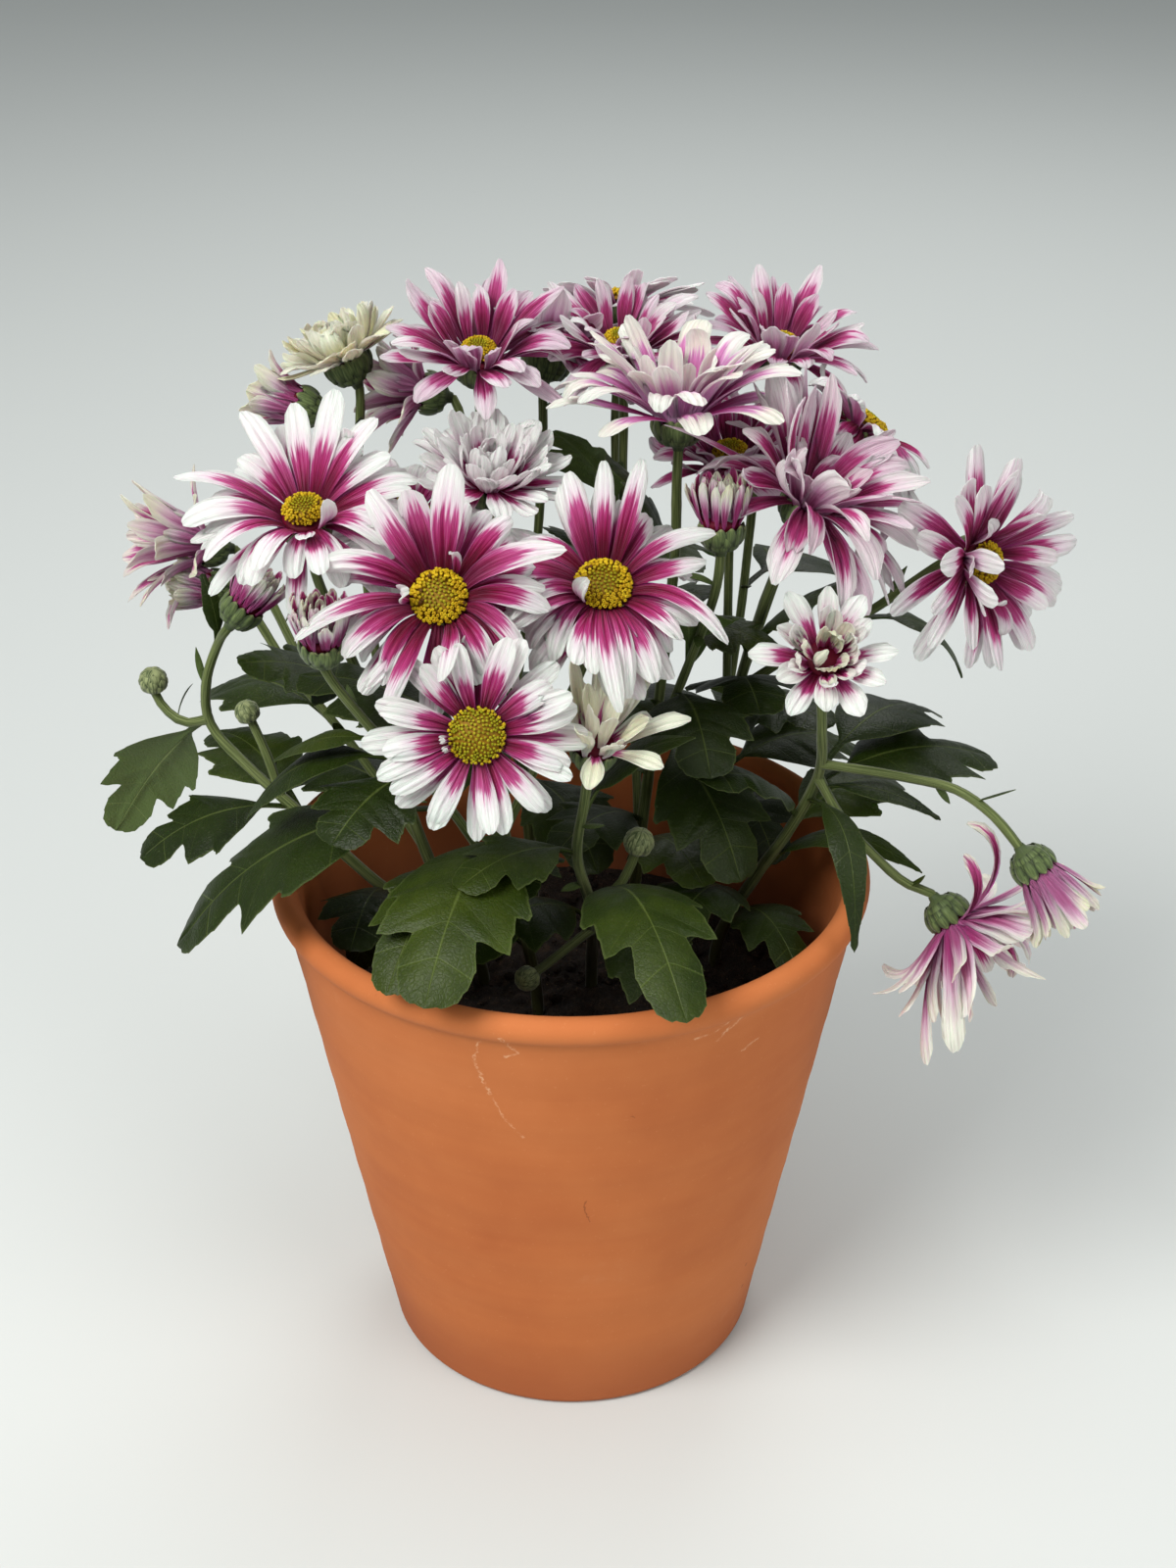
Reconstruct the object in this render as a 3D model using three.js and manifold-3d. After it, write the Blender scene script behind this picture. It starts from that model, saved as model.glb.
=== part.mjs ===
// A pot chrysanthemum in a terracotta pot, in millimetres with +Z up.
// The origin is on the table, under the axis of the pot.
import * as THREE from "three";
import { mergeVertices } from "three/addons/utils/BufferGeometryUtils.js";
import Module from "manifold-3d";

const wasm = await Module();
wasm.setup();
const { Manifold } = wasm;

// Pot: tapered wall, rolled lip with a shallow groove under it, rounded foot, drain hole.
const POT_HEIGHT = 160;
const FOOT_RADIUS = 56.5;
const FOOT_ROUND = 2.5;
const LIP_RADIUS = 86.5;
const LIP_CENTRE_HEIGHT = 156;
const GROOVE_RADIUS = 83.3;
const GROOVE_HEIGHT = 152.2;
const MOUTH_RADIUS = 79;
const FLOOR_THICKNESS = 8;
const FLOOR_RADIUS = 51.5;
const DRAIN_RADIUS = 10;
const POT_SEGMENTS = 32;
const LIP_STEPS = 5;

// Soil: low in the pot, lumpy on top.
const SOIL_TOP = 115;
const SOIL_LUMP = 2.2;
const SOIL_RINGS = [0.9, 0.5, 0];
const GAP = 0.3;
const WELD = 0.02;
const STEM_HOLE_GAP = 0.5;

// Heads: heights are measured along a head's own axis, from the top of the hub that its rays grow from.
const HUB_RADIUS = 6;
const HUB_EDGE = -0.6;
const HUB_BOTTOM = -2.1;
const CALYX_TOP = -2.4;
const CALYX_BOTTOM = -9.5;
const CALYX_RADIUS = 7.2;
const DISC_RADIUS = 7;
const DISC_FOOT = 1;
const DISC_HEIGHT = 3.4;
const DISC_SIDES = 8;
const RAY_WIDTH = 8.2;
const RAY_THICKNESS = 1.1;
const RAY_CUP = 0.1;
const LEAST_BEND = 1e-4;
const RAY_CLEAR = 0.25;
const SIBLING_CLEAR = 0.08;

// Sections of a ray past its root: the place along it and the share of its width there.
const RAY_STATIONS = [
  [0.4, 0.88],
  [0.87, 0.95],
  [1, 0],
];
const FREE_STATION = [0.22, 0.6];

// How far a ray may stray from its row: angles in degrees, the rest as shares.
const STRAY = { heading: 4, root: 3, tip: 9, length: 0.08, width: 0.1, twist: 9, sway: 0.05 };

// Bumps of a disc as a share of its radius, and the angles up its dome at which its rings lie.
const DISC_BUMP = 0.035;
const DISC_RINGS = [0, 28, 58];
const DISC_FOOT_SHARE = 0.9;

// Stems and leaves.
const TRUNK_RADIUS = 2.2;
const BRANCH_RADIUS = 1.5;
const ROOT_DEPTH = 22;
const ROOT_RISE = 6;
const STEM_SIDES = 5;
const STEM_STEP = 28;
const BUD_SIDES = 6;
const BUD_RINGS = [-74, -32, 12, 56];
const BUD_BUMP = 0.06;
const LEAF_THICKNESS = 1.1;
const LEAF_HANG = 0.16;
const PETIOLE_HALF_WIDTH = 1.1;
const LEAF_CLEAR = 0.3;

// Turns in degrees and sizes that a ray or a leaf may take to stay clear of others. Shrinking to nothing
// would count as much as turning by SHRINKING_COST degrees.
const RAY_TURNS = {
  pitches: [0, 8, -8, 16, -16, 26, -26, 38],
  yaws: [0, 5, -5, 10, -10],
  sizes: [1, 0.85, 0.7],
};
const LEAF_TURNS = {
  pitches: [0, 6, -6, 12, -12, 20, -20, 28, -28],
  yaws: [0, 8, -8, 16, -16, 26, -26, 36, -36],
  sizes: [1, 0.9, 0.8, 0.68],
};
const SHRINKING_COST = 60;
const CLOSE_ENOUGH = 0.99;

// Rings of a calyx: height, share of its radius, turn.
const CALYX_RINGS = [
  [-7.6, 0.66, 0.5],
  [-5, 0.95, 0],
  [CALYX_TOP, 1, 0.5],
];

// Rows of rays for each kind of head. All rays of a head stand side by side round its hub, and pattern
// gives the row of each in turn, repeated. Angles are degrees above the head's own plane, at the root
// and at the tip.
const HEAD_KINDS = {
  open: {
    size: 1,
    disc: 1,
    pattern: [0, 1],
    repeats: 8,
    rows: [
      { root: 2, tip: -8, length: 1, width: 1, wild: 1 },
      { root: 24, tip: 8, length: 0.92, width: 0.95, wild: 1.2 },
    ],
  },
  droopy: {
    size: 1,
    disc: 1,
    pattern: [0, 1],
    repeats: 8,
    rows: [
      { root: 2, tip: -34, length: 1, width: 1, wild: 2 },
      { root: 28, tip: 6, length: 0.95, width: 0.9, wild: 2.2 },
    ],
  },
  shaggy: {
    size: 1,
    disc: 0.8,
    pattern: [0, 1],
    repeats: 8,
    rows: [
      { root: 0, tip: -44, length: 1, width: 1, wild: 2.2 },
      { root: 50, tip: 34, length: 1, width: 0.95, wild: 2.2 },
    ],
  },
  cup: {
    size: 1,
    disc: 0.8,
    pattern: [0, 1],
    repeats: 8,
    rows: [
      { root: 12, tip: -6, length: 0.95, width: 1.05, wild: 1.6 },
      { root: 54, tip: 40, length: 1, width: 1.05, wild: 1.2 },
    ],
  },
  bowl: {
    size: 1,
    disc: 0.8,
    pattern: [0, 1],
    repeats: 8,
    rows: [
      { root: 26, tip: 2, length: 0.98, width: 1, wild: 1.6 },
      { root: 62, tip: 44, length: 1, width: 1.05, wild: 1.2 },
    ],
  },
  dense: {
    size: 0.95,
    disc: 0,
    pattern: [0, 1, 0, 1, 2],
    repeats: 4,
    rows: [
      { root: 8, tip: 14, length: 1, width: 0.8, wild: 1.2 },
      { root: 38, tip: 62, length: 0.85, width: 0.75, wild: 0.8 },
      { root: 62, tip: 92, length: 0.62, width: 0.6, wild: 0.6 },
    ],
  },
  opening: {
    size: 0.85,
    disc: 0,
    pattern: [0, 1],
    repeats: 6,
    rows: [
      { root: 26, tip: 14, length: 1, width: 0.8, wild: 1.4 },
      { root: 58, tip: 70, length: 0.75, width: 0.6, wild: 1 },
    ],
  },
  bundle: {
    size: 0.85,
    disc: 0,
    pattern: [0, 1],
    repeats: 5,
    rows: [
      { root: 66, tip: 74, length: 1, width: 0.46, wild: 0.5 },
      { root: 84, tip: 88, length: 0.9, width: 0.36, wild: 0.4 },
    ],
  },
  nodding: {
    size: 0.9,
    disc: 0,
    pattern: [0, 1],
    repeats: 7,
    rows: [
      { root: 18, tip: 6, length: 0.9, width: 0.85, wild: 3.4 },
      { root: 52, tip: 60, length: 1, width: 0.85, wild: 2 },
    ],
  },
};

// Heads: where the top of the hub lies, the bearing and the rise of the way it faces in degrees, the
// reach of its rays.
const HEADS = [
  { name: "front_low", kind: "open", at: [-23, -60, 231], bearing: -90, rise: 28, reach: 29 },
  { name: "front_high", kind: "droopy", at: [-33, -36, 258], bearing: -95, rise: 42, reach: 35 },
  { name: "centre", kind: "droopy", at: [9, -29, 258], bearing: -85, rise: 56, reach: 34 },
  { name: "left_high", kind: "open", at: [-69, -14, 272], bearing: -95, rise: 68, reach: 34 },
  { name: "back_left", kind: "cup", at: [-25, 36, 298], bearing: -80, rise: 74, reach: 31 },
  { name: "back_left_far", kind: "cup", at: [-6, 58, 292], bearing: 60, rise: 70, reach: 29 },
  { name: "top", kind: "bowl", at: [29, 10, 291], bearing: 100, rise: 84, reach: 37 },
  { name: "back_centre", kind: "cup", at: [14, 44, 298], bearing: -80, rise: 78, reach: 29 },
  { name: "far_centre", kind: "open", at: [14, 75, 300], bearing: 95, rise: 66, reach: 28 },
  { name: "far_right", kind: "cup", at: [60, 62, 291], bearing: -40, rise: 76, reach: 30 },
  { name: "back_right", kind: "droopy", at: [82, 40, 276], bearing: 20, rise: 50, reach: 28 },
  { name: "right_high", kind: "shaggy", at: [64, -4, 272], bearing: -16, rise: 64, reach: 37 },
  { name: "right_inner", kind: "cup", at: [45, 37, 268], bearing: -110, rise: 76, reach: 26 },
  { name: "right_side", kind: "open", at: [111, -2, 253], bearing: -52, rise: 12, reach: 33 },
  { name: "left_inner", kind: "open", at: [-44, 4, 262], bearing: -95, rise: 65, reach: 26 },
  { name: "half_open_right", kind: "opening", at: [66, -40, 243], bearing: -90, rise: 45, reach: 21 },
  { name: "half_open_white", kind: "dense", at: [-21, 4, 275], bearing: -60, rise: 75, reach: 24 },
  { name: "half_open_cream", kind: "dense", at: [-64, 54, 292], bearing: 165, rise: 66, reach: 21 },
  { name: "half_open_back", kind: "opening", at: [-44, 60, 279], bearing: 180, rise: 12, reach: 22 },
  { name: "half_open_left", kind: "opening", at: [-110, 58, 232], bearing: -165, rise: 14, reach: 27 },
  { name: "opening_front", kind: "opening", at: [7, -50, 224], bearing: -60, rise: 72, reach: 22 },
  { name: "nodding_low", kind: "nodding", at: [107, -33, 157], bearing: -33, rise: -44, reach: 38 },
  { name: "nodding_side", kind: "bundle", at: [126, -48, 182], bearing: -25, rise: -48, reach: 23 },
  { name: "bud_right", kind: "bundle", at: [40, -12, 270], bearing: 90, rise: 85, reach: 17 },
  { name: "bud_back_left", kind: "bundle", at: [-79, 50, 279], bearing: 175, rise: 20, reach: 17 },
  { name: "bud_left_low", kind: "bundle", at: [-109, 54, 220], bearing: 175, rise: 12, reach: 16 },
  { name: "bud_left", kind: "bundle", at: [-90, 15, 234], bearing: 15, rise: 52, reach: 16 },
  { name: "bud_front_left", kind: "bundle", at: [-63, -41, 250], bearing: -90, rise: 82, reach: 16 },
];

// Sprays. Each stem is a path of points that ends under a head or in a closed bud of some radius. The
// first stem of a spray stands in the soil, and the others branch off the ones before them. A leaf runs
// from a stem to its tip. It has a width, an arch as a share of its length and, where it is tilted about
// its own length, a roll in degrees.
const SPRAYS = [
  {
    name: "left",
    stems: [
      {
        head: "bud_left",
        path: [
          [-28, 4],
          [-58, 8, 146],
          [-80, 10, 169],
          [-94, 16, 180],
          [-105, 22, 191],
          [-105, 21, 205],
          [-100, 19, 219],
        ],
      },
      {
        bud: 4.2,
        path: [[-105, 22, 191], [-113, 25, 190], [-119, 28, 193], [-122, 30, 198], [-122, 30, 201]],
      },
      { bud: 3.6, path: [[-84, 12, 173], [-88, 14, 185], [-92, 16, 195], [-93, 16, 198]] },
      { bud: 3.2, path: [[-50, 7, 139], [-60, 7, 136], [-65, 7, 137], [-67, 6, 139]] },
    ],
    leaves: [
      { shape: "lobed", from: [-106, 22, 188], to: [-139, 34, 148], width: 27, arch: 0.12, roll: 60 },
      { shape: "lobed", from: [-46, 6, 136], to: [-64, -10, 128], width: 26, arch: 0.2 },
      { shape: "lobed", from: [-54, 8, 143], to: [-62, -30, 146], width: 28, arch: 0.2 },
      { shape: "lobed", from: [-82, 10, 170], to: [-124, -4, 161], width: 34, arch: 0.14 },
      { shape: "lobed", from: [-78, 10, 167], to: [-108, 50, 174], width: 32, arch: 0.15 },
      { shape: "narrow", from: [-100, 19, 218], to: [-104, 24, 238], width: 6, arch: 0.1 },
    ],
  },
  {
    name: "front",
    stems: [
      { head: "opening_front", path: [[6, -2], [6, -22, 154], [2, -38, 183], [4, -46, 203]] },
      { bud: 4.2, path: [[6, -23, 156], [14, -26, 166], [18, -27, 176], [19, -27, 180]] },
      { bud: 3.6, path: [[6, -16, 145], [-8, -32, 142], [-12, -36, 141]] },
    ],
    leaves: [
      { shape: "lobed", from: [7, -24, 158], to: [30, -96, 168], width: 34, arch: 0.24 },
      { shape: "narrow", from: [4, -45, 200], to: [33, -44, 222], width: 15, arch: 0.16 },
      { shape: "lobed", from: [2, -38, 184], to: [-29, -64, 188], width: 27, arch: 0.14 },
      { shape: "lobed", from: [6, -20, 151], to: [-38, -44, 160], width: 34, arch: 0.2 },
      { shape: "lobed", from: [6, -14, 142], to: [34, -50, 134], width: 30, arch: 0.24 },
    ],
  },
  {
    name: "right",
    stems: [
      {
        head: "half_open_right",
        path: [[44, 12], [55, 2, 153], [62, -6, 171], [69, -14, 194], [68, -24, 214]],
      },
      { head: "nodding_side", path: [[71, -16, 199], [91, -26, 200], [104, -35, 201], [113, -42, 197]] },
      { head: "nodding_low", path: [[69, -14, 193], [76, -19, 182], [84, -23, 174], [93, -27, 167]] },
    ],
    leaves: [
      { shape: "lobed", from: [69, -13, 191], to: [121, 12, 186], width: 40, arch: 0.12 },
      { shape: "lobed", from: [70, -13, 197], to: [106, 32, 190], width: 30, arch: 0.16 },
      { shape: "narrow", from: [67, -14, 189], to: [101, -30, 193], width: 9, arch: 0.12 },
      { shape: "narrow", from: [66, -13, 184], to: [77, -52, 160], width: 10, arch: 0.4 },
      { shape: "lobed", from: [64, -8, 178], to: [34, -32, 203], width: 34, arch: 0.14 },
      { shape: "narrow", from: [57, 2, 150], to: [99, -20, 166], width: 14, arch: 0.25 },
      { shape: "lobed", from: [60, -5, 166], to: [96, 22, 172], width: 32, arch: 0.2 },
      { shape: "lobed", from: [50, 7, 138], to: [26, -34, 146], width: 30, arch: 0.24 },
      { shape: "lobed", from: [47, 10, 130], to: [68, -34, 136], width: 26, arch: 0.3 },
    ],
  },
  {
    name: "centre",
    stems: [
      { head: "front_high", path: [[-10, -14], [-14, -19, 150], [-20, -22, 190], [-28, -26, 225]] },
      { head: "front_low", path: [[-16, -20, 168], [-20, -32, 200]] },
      { head: "centre", path: [[-18, -21, 180], [-4, -20, 212], [4, -21, 232]] },
      { head: "bud_front_left", path: [[-14, -19, 152], [-34, -26, 192], [-52, -36, 220]] },
    ],
    leaves: [
      { shape: "lobed", from: [-18, -24, 184], to: [-37, -92, 176], width: 40, arch: 0.16 },
      { shape: "lobed", from: [-20, -22, 170], to: [-50, -88, 166], width: 32, arch: 0.22 },
      { shape: "lobed", from: [-34, -26, 190], to: [-108, -42, 156], width: 44, arch: 0.16 },
      { shape: "narrow", from: [-46, -32, 208], to: [-88, -32, 190], width: 18, arch: 0.2 },
      { shape: "lobed", from: [-38, -28, 208], to: [-62, -57, 197], width: 34, arch: 0.12 },
      { shape: "narrow", from: [-50, -34, 216], to: [-80, -28, 206], width: 12, arch: 0.12 },
      { shape: "lobed", from: [-24, -24, 206], to: [-74, -8, 222], width: 38, arch: 0.14 },
      { shape: "lobed", from: [-13, -18, 140], to: [-58, -36, 146], width: 32, arch: 0.22 },
      { shape: "lobed", from: [-15, -20, 166], to: [-14, -62, 178], width: 28, arch: 0.2 },
    ],
  },
  {
    name: "left_back",
    stems: [
      {
        head: "left_high",
        path: [[-34, 18], [-44, 20, 150], [-54, 16, 190], [-63, 3, 228], [-68, -7, 252]],
      },
      { head: "half_open_cream", path: [[-52, 17, 180], [-58, 34, 220], [-61, 49, 258]] },
      { head: "bud_left_low", path: [[-44, 20, 152], [-66, 32, 180], [-84, 44, 198]] },
      { head: "half_open_left", path: [[-75, 38, 189], [-84, 52, 203], [-92, 59, 217]] },
      { head: "bud_back_left", path: [[-63, 41, 236], [-67, 49, 260]] },
    ],
    leaves: [
      { shape: "lobed", from: [-58, 12, 205], to: [-92, 0, 222], width: 38, arch: 0.12 },
      { shape: "lobed", from: [-48, 20, 165], to: [-86, 46, 160], width: 34, arch: 0.2 },
      { shape: "lobed", from: [-60, 30, 212], to: [-64, 80, 200], width: 36, arch: 0.16 },
      { shape: "lobed", from: [-70, 34, 185], to: [-112, 70, 178], width: 36, arch: 0.16 },
    ],
  },
  {
    name: "back",
    stems: [
      {
        head: "back_left",
        path: [[-12, 36], [-14, 38, 160], [-19, 41, 210], [-23, 41, 255], [-25, 39, 278]],
      },
      { head: "back_left_far", path: [[-17, 40, 190], [-10, 50, 235], [-8, 57, 268]] },
      { head: "half_open_white", path: [[-14, 37, 152], [-16, 26, 200], [-18, 13, 240]] },
      { head: "left_inner", path: [[-14, 38, 168], [-30, 28, 205], [-41, 15, 235]] },
      { head: "half_open_back", path: [[-22, 41, 240], [-29, 52, 262]] },
    ],
    leaves: [
      { shape: "lobed", from: [-16, 39, 178], to: [-36, 94, 166], width: 40, arch: 0.2 },
      { shape: "lobed", from: [-13, 51, 222], to: [2, 97, 214], width: 34, arch: 0.16 },
      { shape: "lobed", from: [-20, 41, 220], to: [-50, 74, 238], width: 34, arch: 0.14 },
      { shape: "lobed", from: [-17, 30, 184], to: [-38, -2, 180], width: 26, arch: 0.2 },
      { shape: "lobed", from: [-14, 38, 164], to: [8, 2, 152], width: 32, arch: 0.22 },
    ],
  },
  {
    name: "top",
    stems: [
      { head: "top", path: [[18, 18], [21, 17, 160], [26, 15, 210], [29, 12, 250], [29, 10, 272]] },
      { head: "bud_right", path: [[23, 16, 185], [33, 0, 222], [39, -10, 248]] },
      { head: "back_centre", path: [[21, 18, 152], [18, 34, 200], [15, 46, 255], [15, 49, 280]] },
      { head: "far_centre", path: [[18, 32, 195], [14, 56, 235], [13, 73, 268]] },
    ],
    leaves: [
      { shape: "lobed", from: [15, 45, 246], to: [-4, 34, 277], width: 24, arch: 0.1, roll: 30 },
      { shape: "lobed", from: [29, 12, 244], to: [10, 26, 273], width: 24, arch: 0.1, roll: 30 },
      { shape: "lobed", from: [15, 55, 228], to: [36, 98, 206], width: 36, arch: 0.18 },
      { shape: "lobed", from: [20, 24, 168], to: [26, 88, 170], width: 36, arch: 0.2 },
      { shape: "lobed", from: [30, 6, 210], to: [38, -34, 204], width: 32, arch: 0.2 },
      { shape: "lobed", from: [33, 0, 222], to: [30, -24, 248], width: 28, arch: 0.2 },
      { shape: "lobed", from: [22, 16, 180], to: [2, -14, 206], width: 28, arch: 0.2 },
      { shape: "narrow", from: [26, 15, 202], to: [3, -22, 192], width: 17, arch: 0.12 },
      { shape: "lobed", from: [25, 16, 192], to: [48, -22, 164], width: 36, arch: 0.16 },
      { shape: "lobed", from: [21, 17, 162], to: [-4, -12, 168], width: 30, arch: 0.18 },
      { shape: "lobed", from: [21, 17, 152], to: [38, -18, 146], width: 30, arch: 0.22 },
      { shape: "lobed", from: [29, 12, 226], to: [58, -14, 226], width: 30, arch: 0.12 },
      { shape: "lobed", from: [15, 42, 226], to: [-6, 26, 250], width: 28, arch: 0.12 },
      { shape: "lobed", from: [16, 40, 216], to: [40, 22, 232], width: 30, arch: 0.14 },
    ],
  },
  {
    name: "right_back",
    stems: [
      { head: "right_high", path: [[34, 36], [42, 36, 160], [50, 28, 205], [54, 12, 234], [57, 3, 250]] },
      { head: "right_inner", path: [[46, 32, 182], [46, 43, 225], [46, 46, 252]] },
      { head: "far_right", path: [[42, 36, 164], [50, 50, 210], [54, 60, 250], [57, 64, 273]] },
      { head: "back_right", path: [[49, 29, 200], [60, 38, 232], [68, 41, 256]] },
      { head: "right_side", path: [[50, 29, 198], [66, 24, 214], [84, 14, 231]] },
    ],
    leaves: [
      { shape: "narrow", from: [82, 16, 228], to: [113, 22, 206], width: 17, arch: 0.2 },
      { shape: "lobed", from: [56, 22, 214], to: [76, 4, 246], width: 32, arch: 0.12 },
      { shape: "lobed", from: [54, 54, 220], to: [84, 90, 208], width: 36, arch: 0.16 },
      { shape: "lobed", from: [44, 40, 172], to: [72, 86, 166], width: 38, arch: 0.2 },
      { shape: "lobed", from: [43, 34, 166], to: [90, 56, 164], width: 36, arch: 0.2 },
      { shape: "lobed", from: [46, 30, 186], to: [52, -16, 214], width: 34, arch: 0.22 },
      { shape: "lobed", from: [47, 32, 182], to: [74, 12, 200], width: 30, arch: 0.2 },
      { shape: "lobed", from: [52, 26, 212], to: [38, -6, 243], width: 28, arch: 0.14 },
      { shape: "lobed", from: [42, 36, 164], to: [62, 2, 152], width: 34, arch: 0.22 },
    ],
  },
];

// The half outline of a leaf, from its foot to its tip: place of the rib point and of the edge point
// along the leaf, and the edge's share of the half width.
const LEAF_SHAPES = {
  lobed: [
    [0, 0, 0],
    [0.15, 0.15, 0],
    [0.3, 0.35, 0.64],
    [0.42, 0.56, 1],
    [0.48, 0.58, 0.82],
    [0.55, 0.76, 0.88],
    [0.66, 0.73, 0.44],
    [0.8, 0.85, 0.52],
    [0.9, 0.97, 0.36],
    [1, 1, 0],
  ],
  narrow: [
    [0, 0, 0],
    [0.14, 0.14, 0],
    [0.3, 0.32, 0.72],
    [0.5, 0.54, 1],
    [0.68, 0.76, 0.7],
    [0.84, 0.9, 0.34],
    [1, 1, 0],
  ],
};

const COLOURS = {
  terracotta: { color: 0xbf7146, roughness: 0.85 },
  soil: { color: 0x2b211a, roughness: 1 },
  green: { color: 0x3d5a34, roughness: 0.7 },
  rays: { color: 0xd9a2c4, roughness: 0.6 },
  disc: { color: 0xc8a818, roughness: 0.8 },
};

const UP = new THREE.Vector3(0, 0, 1);
const radians = THREE.MathUtils.degToRad;
const plant = new THREE.Group();

function vector(values) {
  return new THREE.Vector3(...values);
}

// A repeatable source of numbers from 0 to 1.
function seededRandom(seed) {
  let state = seed >>> 0;
  return () => {
    state = (state + 0x6d2b79f5) >>> 0;
    let t = Math.imul(state ^ (state >>> 15), 1 | state);
    t = (t + Math.imul(t ^ (t >>> 7), 61 | t)) ^ t;
    return ((t ^ (t >>> 14)) >>> 0) / 4294967296;
  };
}

// A closed skin over rings of points. The first and last ring are closed flat, or end in a point if they
// hold one.
function skin(rings) {
  const points = rings.flat();
  const starts = [];
  let start = 0;
  for (const ring of rings) {
    starts.push(start);
    start += ring.length;
  }
  const faces = [];
  for (let i = 0; i + 1 < rings.length; i += 1) {
    const sides = Math.max(rings[i].length, rings[i + 1].length);
    for (let j = 0; j < sides; j += 1) {
      const here = (ring, k) => starts[ring] + (k % rings[ring].length);
      if (rings[i].length > 1) faces.push([here(i, j), here(i, j + 1), here(i + 1, j + 1)]);
      if (rings[i + 1].length > 1) faces.push([here(i, j), here(i + 1, j + 1), here(i + 1, j)]);
    }
  }
  for (let j = 1; j + 1 < rings[0].length; j += 1) faces.push([0, j + 1, j]);
  const last = starts[rings.length - 1];
  for (let j = 1; j + 1 < rings.at(-1).length; j += 1) faces.push([last, last + j, last + j + 1]);
  return solid(points, faces);
}

// A manifold solid from points and faces, turned to face out.
function solid(points, faces) {
  const vertProperties = new Float32Array(points.flatMap((p) => [p.x, p.y, p.z]));
  const make = (list) => {
    const triVerts = new Uint32Array(list.flat());
    return new wasm.Manifold(new wasm.Mesh({ numProp: 3, vertProperties, triVerts }));
  };
  const made = make(faces);
  return made.volume() < 0 ? make(faces.map(([a, b, c]) => [a, c, b])) : made;
}

// A three.js geometry as a manifold solid: shared points merged, faces that shrank to a line left out.
function solidOfGeometry(geometry) {
  geometry.deleteAttribute("normal");
  geometry.deleteAttribute("uv");
  const merged = mergeVertices(geometry, 1e-3);
  const position = merged.getAttribute("position");
  const points = [];
  for (let i = 0; i < position.count; i += 1) {
    points.push(new THREE.Vector3().fromBufferAttribute(position, i));
  }
  const index = merged.getIndex().array;
  const faces = [];
  for (let i = 0; i < index.length; i += 3) {
    const [a, b, c] = index.slice(i, i + 3);
    if (a !== b && b !== c && c !== a) faces.push([a, b, c]);
  }
  return solid(points, faces);
}

// A profile of [radius, height] pairs turned about the Z axis.
function turned(profile, segments) {
  const outline = profile.map(([radius, height]) => new THREE.Vector2(radius, height));
  return new THREE.LatheGeometry(outline, segments).rotateX(Math.PI / 2);
}

// Points on an elliptic arc in the plane of a profile, angles in degrees.
function arc(centre, semiAxes, from, to, steps) {
  return Array.from({ length: steps + 1 }, (_, i) => {
    const angle = radians(from + ((to - from) * i) / steps);
    return [centre[0] + semiAxes[0] * Math.cos(angle), centre[1] + semiAxes[1] * Math.sin(angle)];
  });
}

function potSolid() {
  const foot = arc([FOOT_RADIUS - FOOT_ROUND, FOOT_ROUND], [FOOT_ROUND, FOOT_ROUND], -90, 0, 2);
  const lipCentre = [(LIP_RADIUS + MOUTH_RADIUS) / 2, LIP_CENTRE_HEIGHT];
  const lipSize = [(LIP_RADIUS - MOUTH_RADIUS) / 2, POT_HEIGHT - LIP_CENTRE_HEIGHT];
  const lip = arc(lipCentre, lipSize, -50, 180, LIP_STEPS);
  const start = [DRAIN_RADIUS, 0];
  const inside = [
    [FLOOR_RADIUS, FLOOR_THICKNESS + FOOT_ROUND],
    [FLOOR_RADIUS - FOOT_ROUND, FLOOR_THICKNESS],
    [DRAIN_RADIUS, FLOOR_THICKNESS],
  ];
  const groove = [GROOVE_RADIUS, GROOVE_HEIGHT];
  return solidOfGeometry(turned([start, ...foot, groove, ...lip, ...inside, start], POT_SEGMENTS));
}

// Radius of the inside of the pot at a height.
function wallRadius(height) {
  const start = FLOOR_THICKNESS + FOOT_ROUND;
  const share = (height - start) / (LIP_CENTRE_HEIGHT - start);
  return THREE.MathUtils.lerp(FLOOR_RADIUS, MOUTH_RADIUS, share);
}

// Soil fills the pot from its floor up. Its top is lumpy by a formula, and each trunk stands in a hole
// of its own.
function soilSolid(holes) {
  const edgeHeight = SOIL_TOP - SOIL_LUMP;
  const edge = wallRadius(edgeHeight) - GAP;
  const rings = SOIL_RINGS.map((share) => [edge * share, SOIL_TOP]);
  const profile = [
    [0, FLOOR_THICKNESS + GAP],
    [FLOOR_RADIUS - FOOT_ROUND - GAP, FLOOR_THICKNESS + GAP],
    [FLOOR_RADIUS - GAP, FLOOR_THICKNESS + FOOT_ROUND],
    [edge, edgeHeight],
    ...rings,
  ];
  const geometry = turned(profile, POT_SEGMENTS);
  const position = geometry.getAttribute("position");
  for (let i = 0; i < position.count; i += 1) {
    if (position.getZ(i) > edgeHeight + GAP) {
      position.setZ(i, SOIL_TOP + soilLump(position.getX(i), position.getY(i)));
    }
  }
  return holes.reduce((soil, hole) => soil.subtract(hole), solidOfGeometry(geometry));
}

function soilLump(x, y) {
  const broad = Math.sin(0.11 * x + 1.3) * Math.cos(0.13 * y - 0.4);
  const fine = Math.sin(0.47 * x - 0.31 * y) * Math.cos(0.29 * x + 0.53 * y + 2);
  return SOIL_LUMP * (0.5 * broad + 0.5 * fine);
}

// How many steps a stem along a curve is made in.
function stemSteps(curve) {
  return Math.max(2, Math.round(curve.getLength() / STEM_STEP));
}

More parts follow.
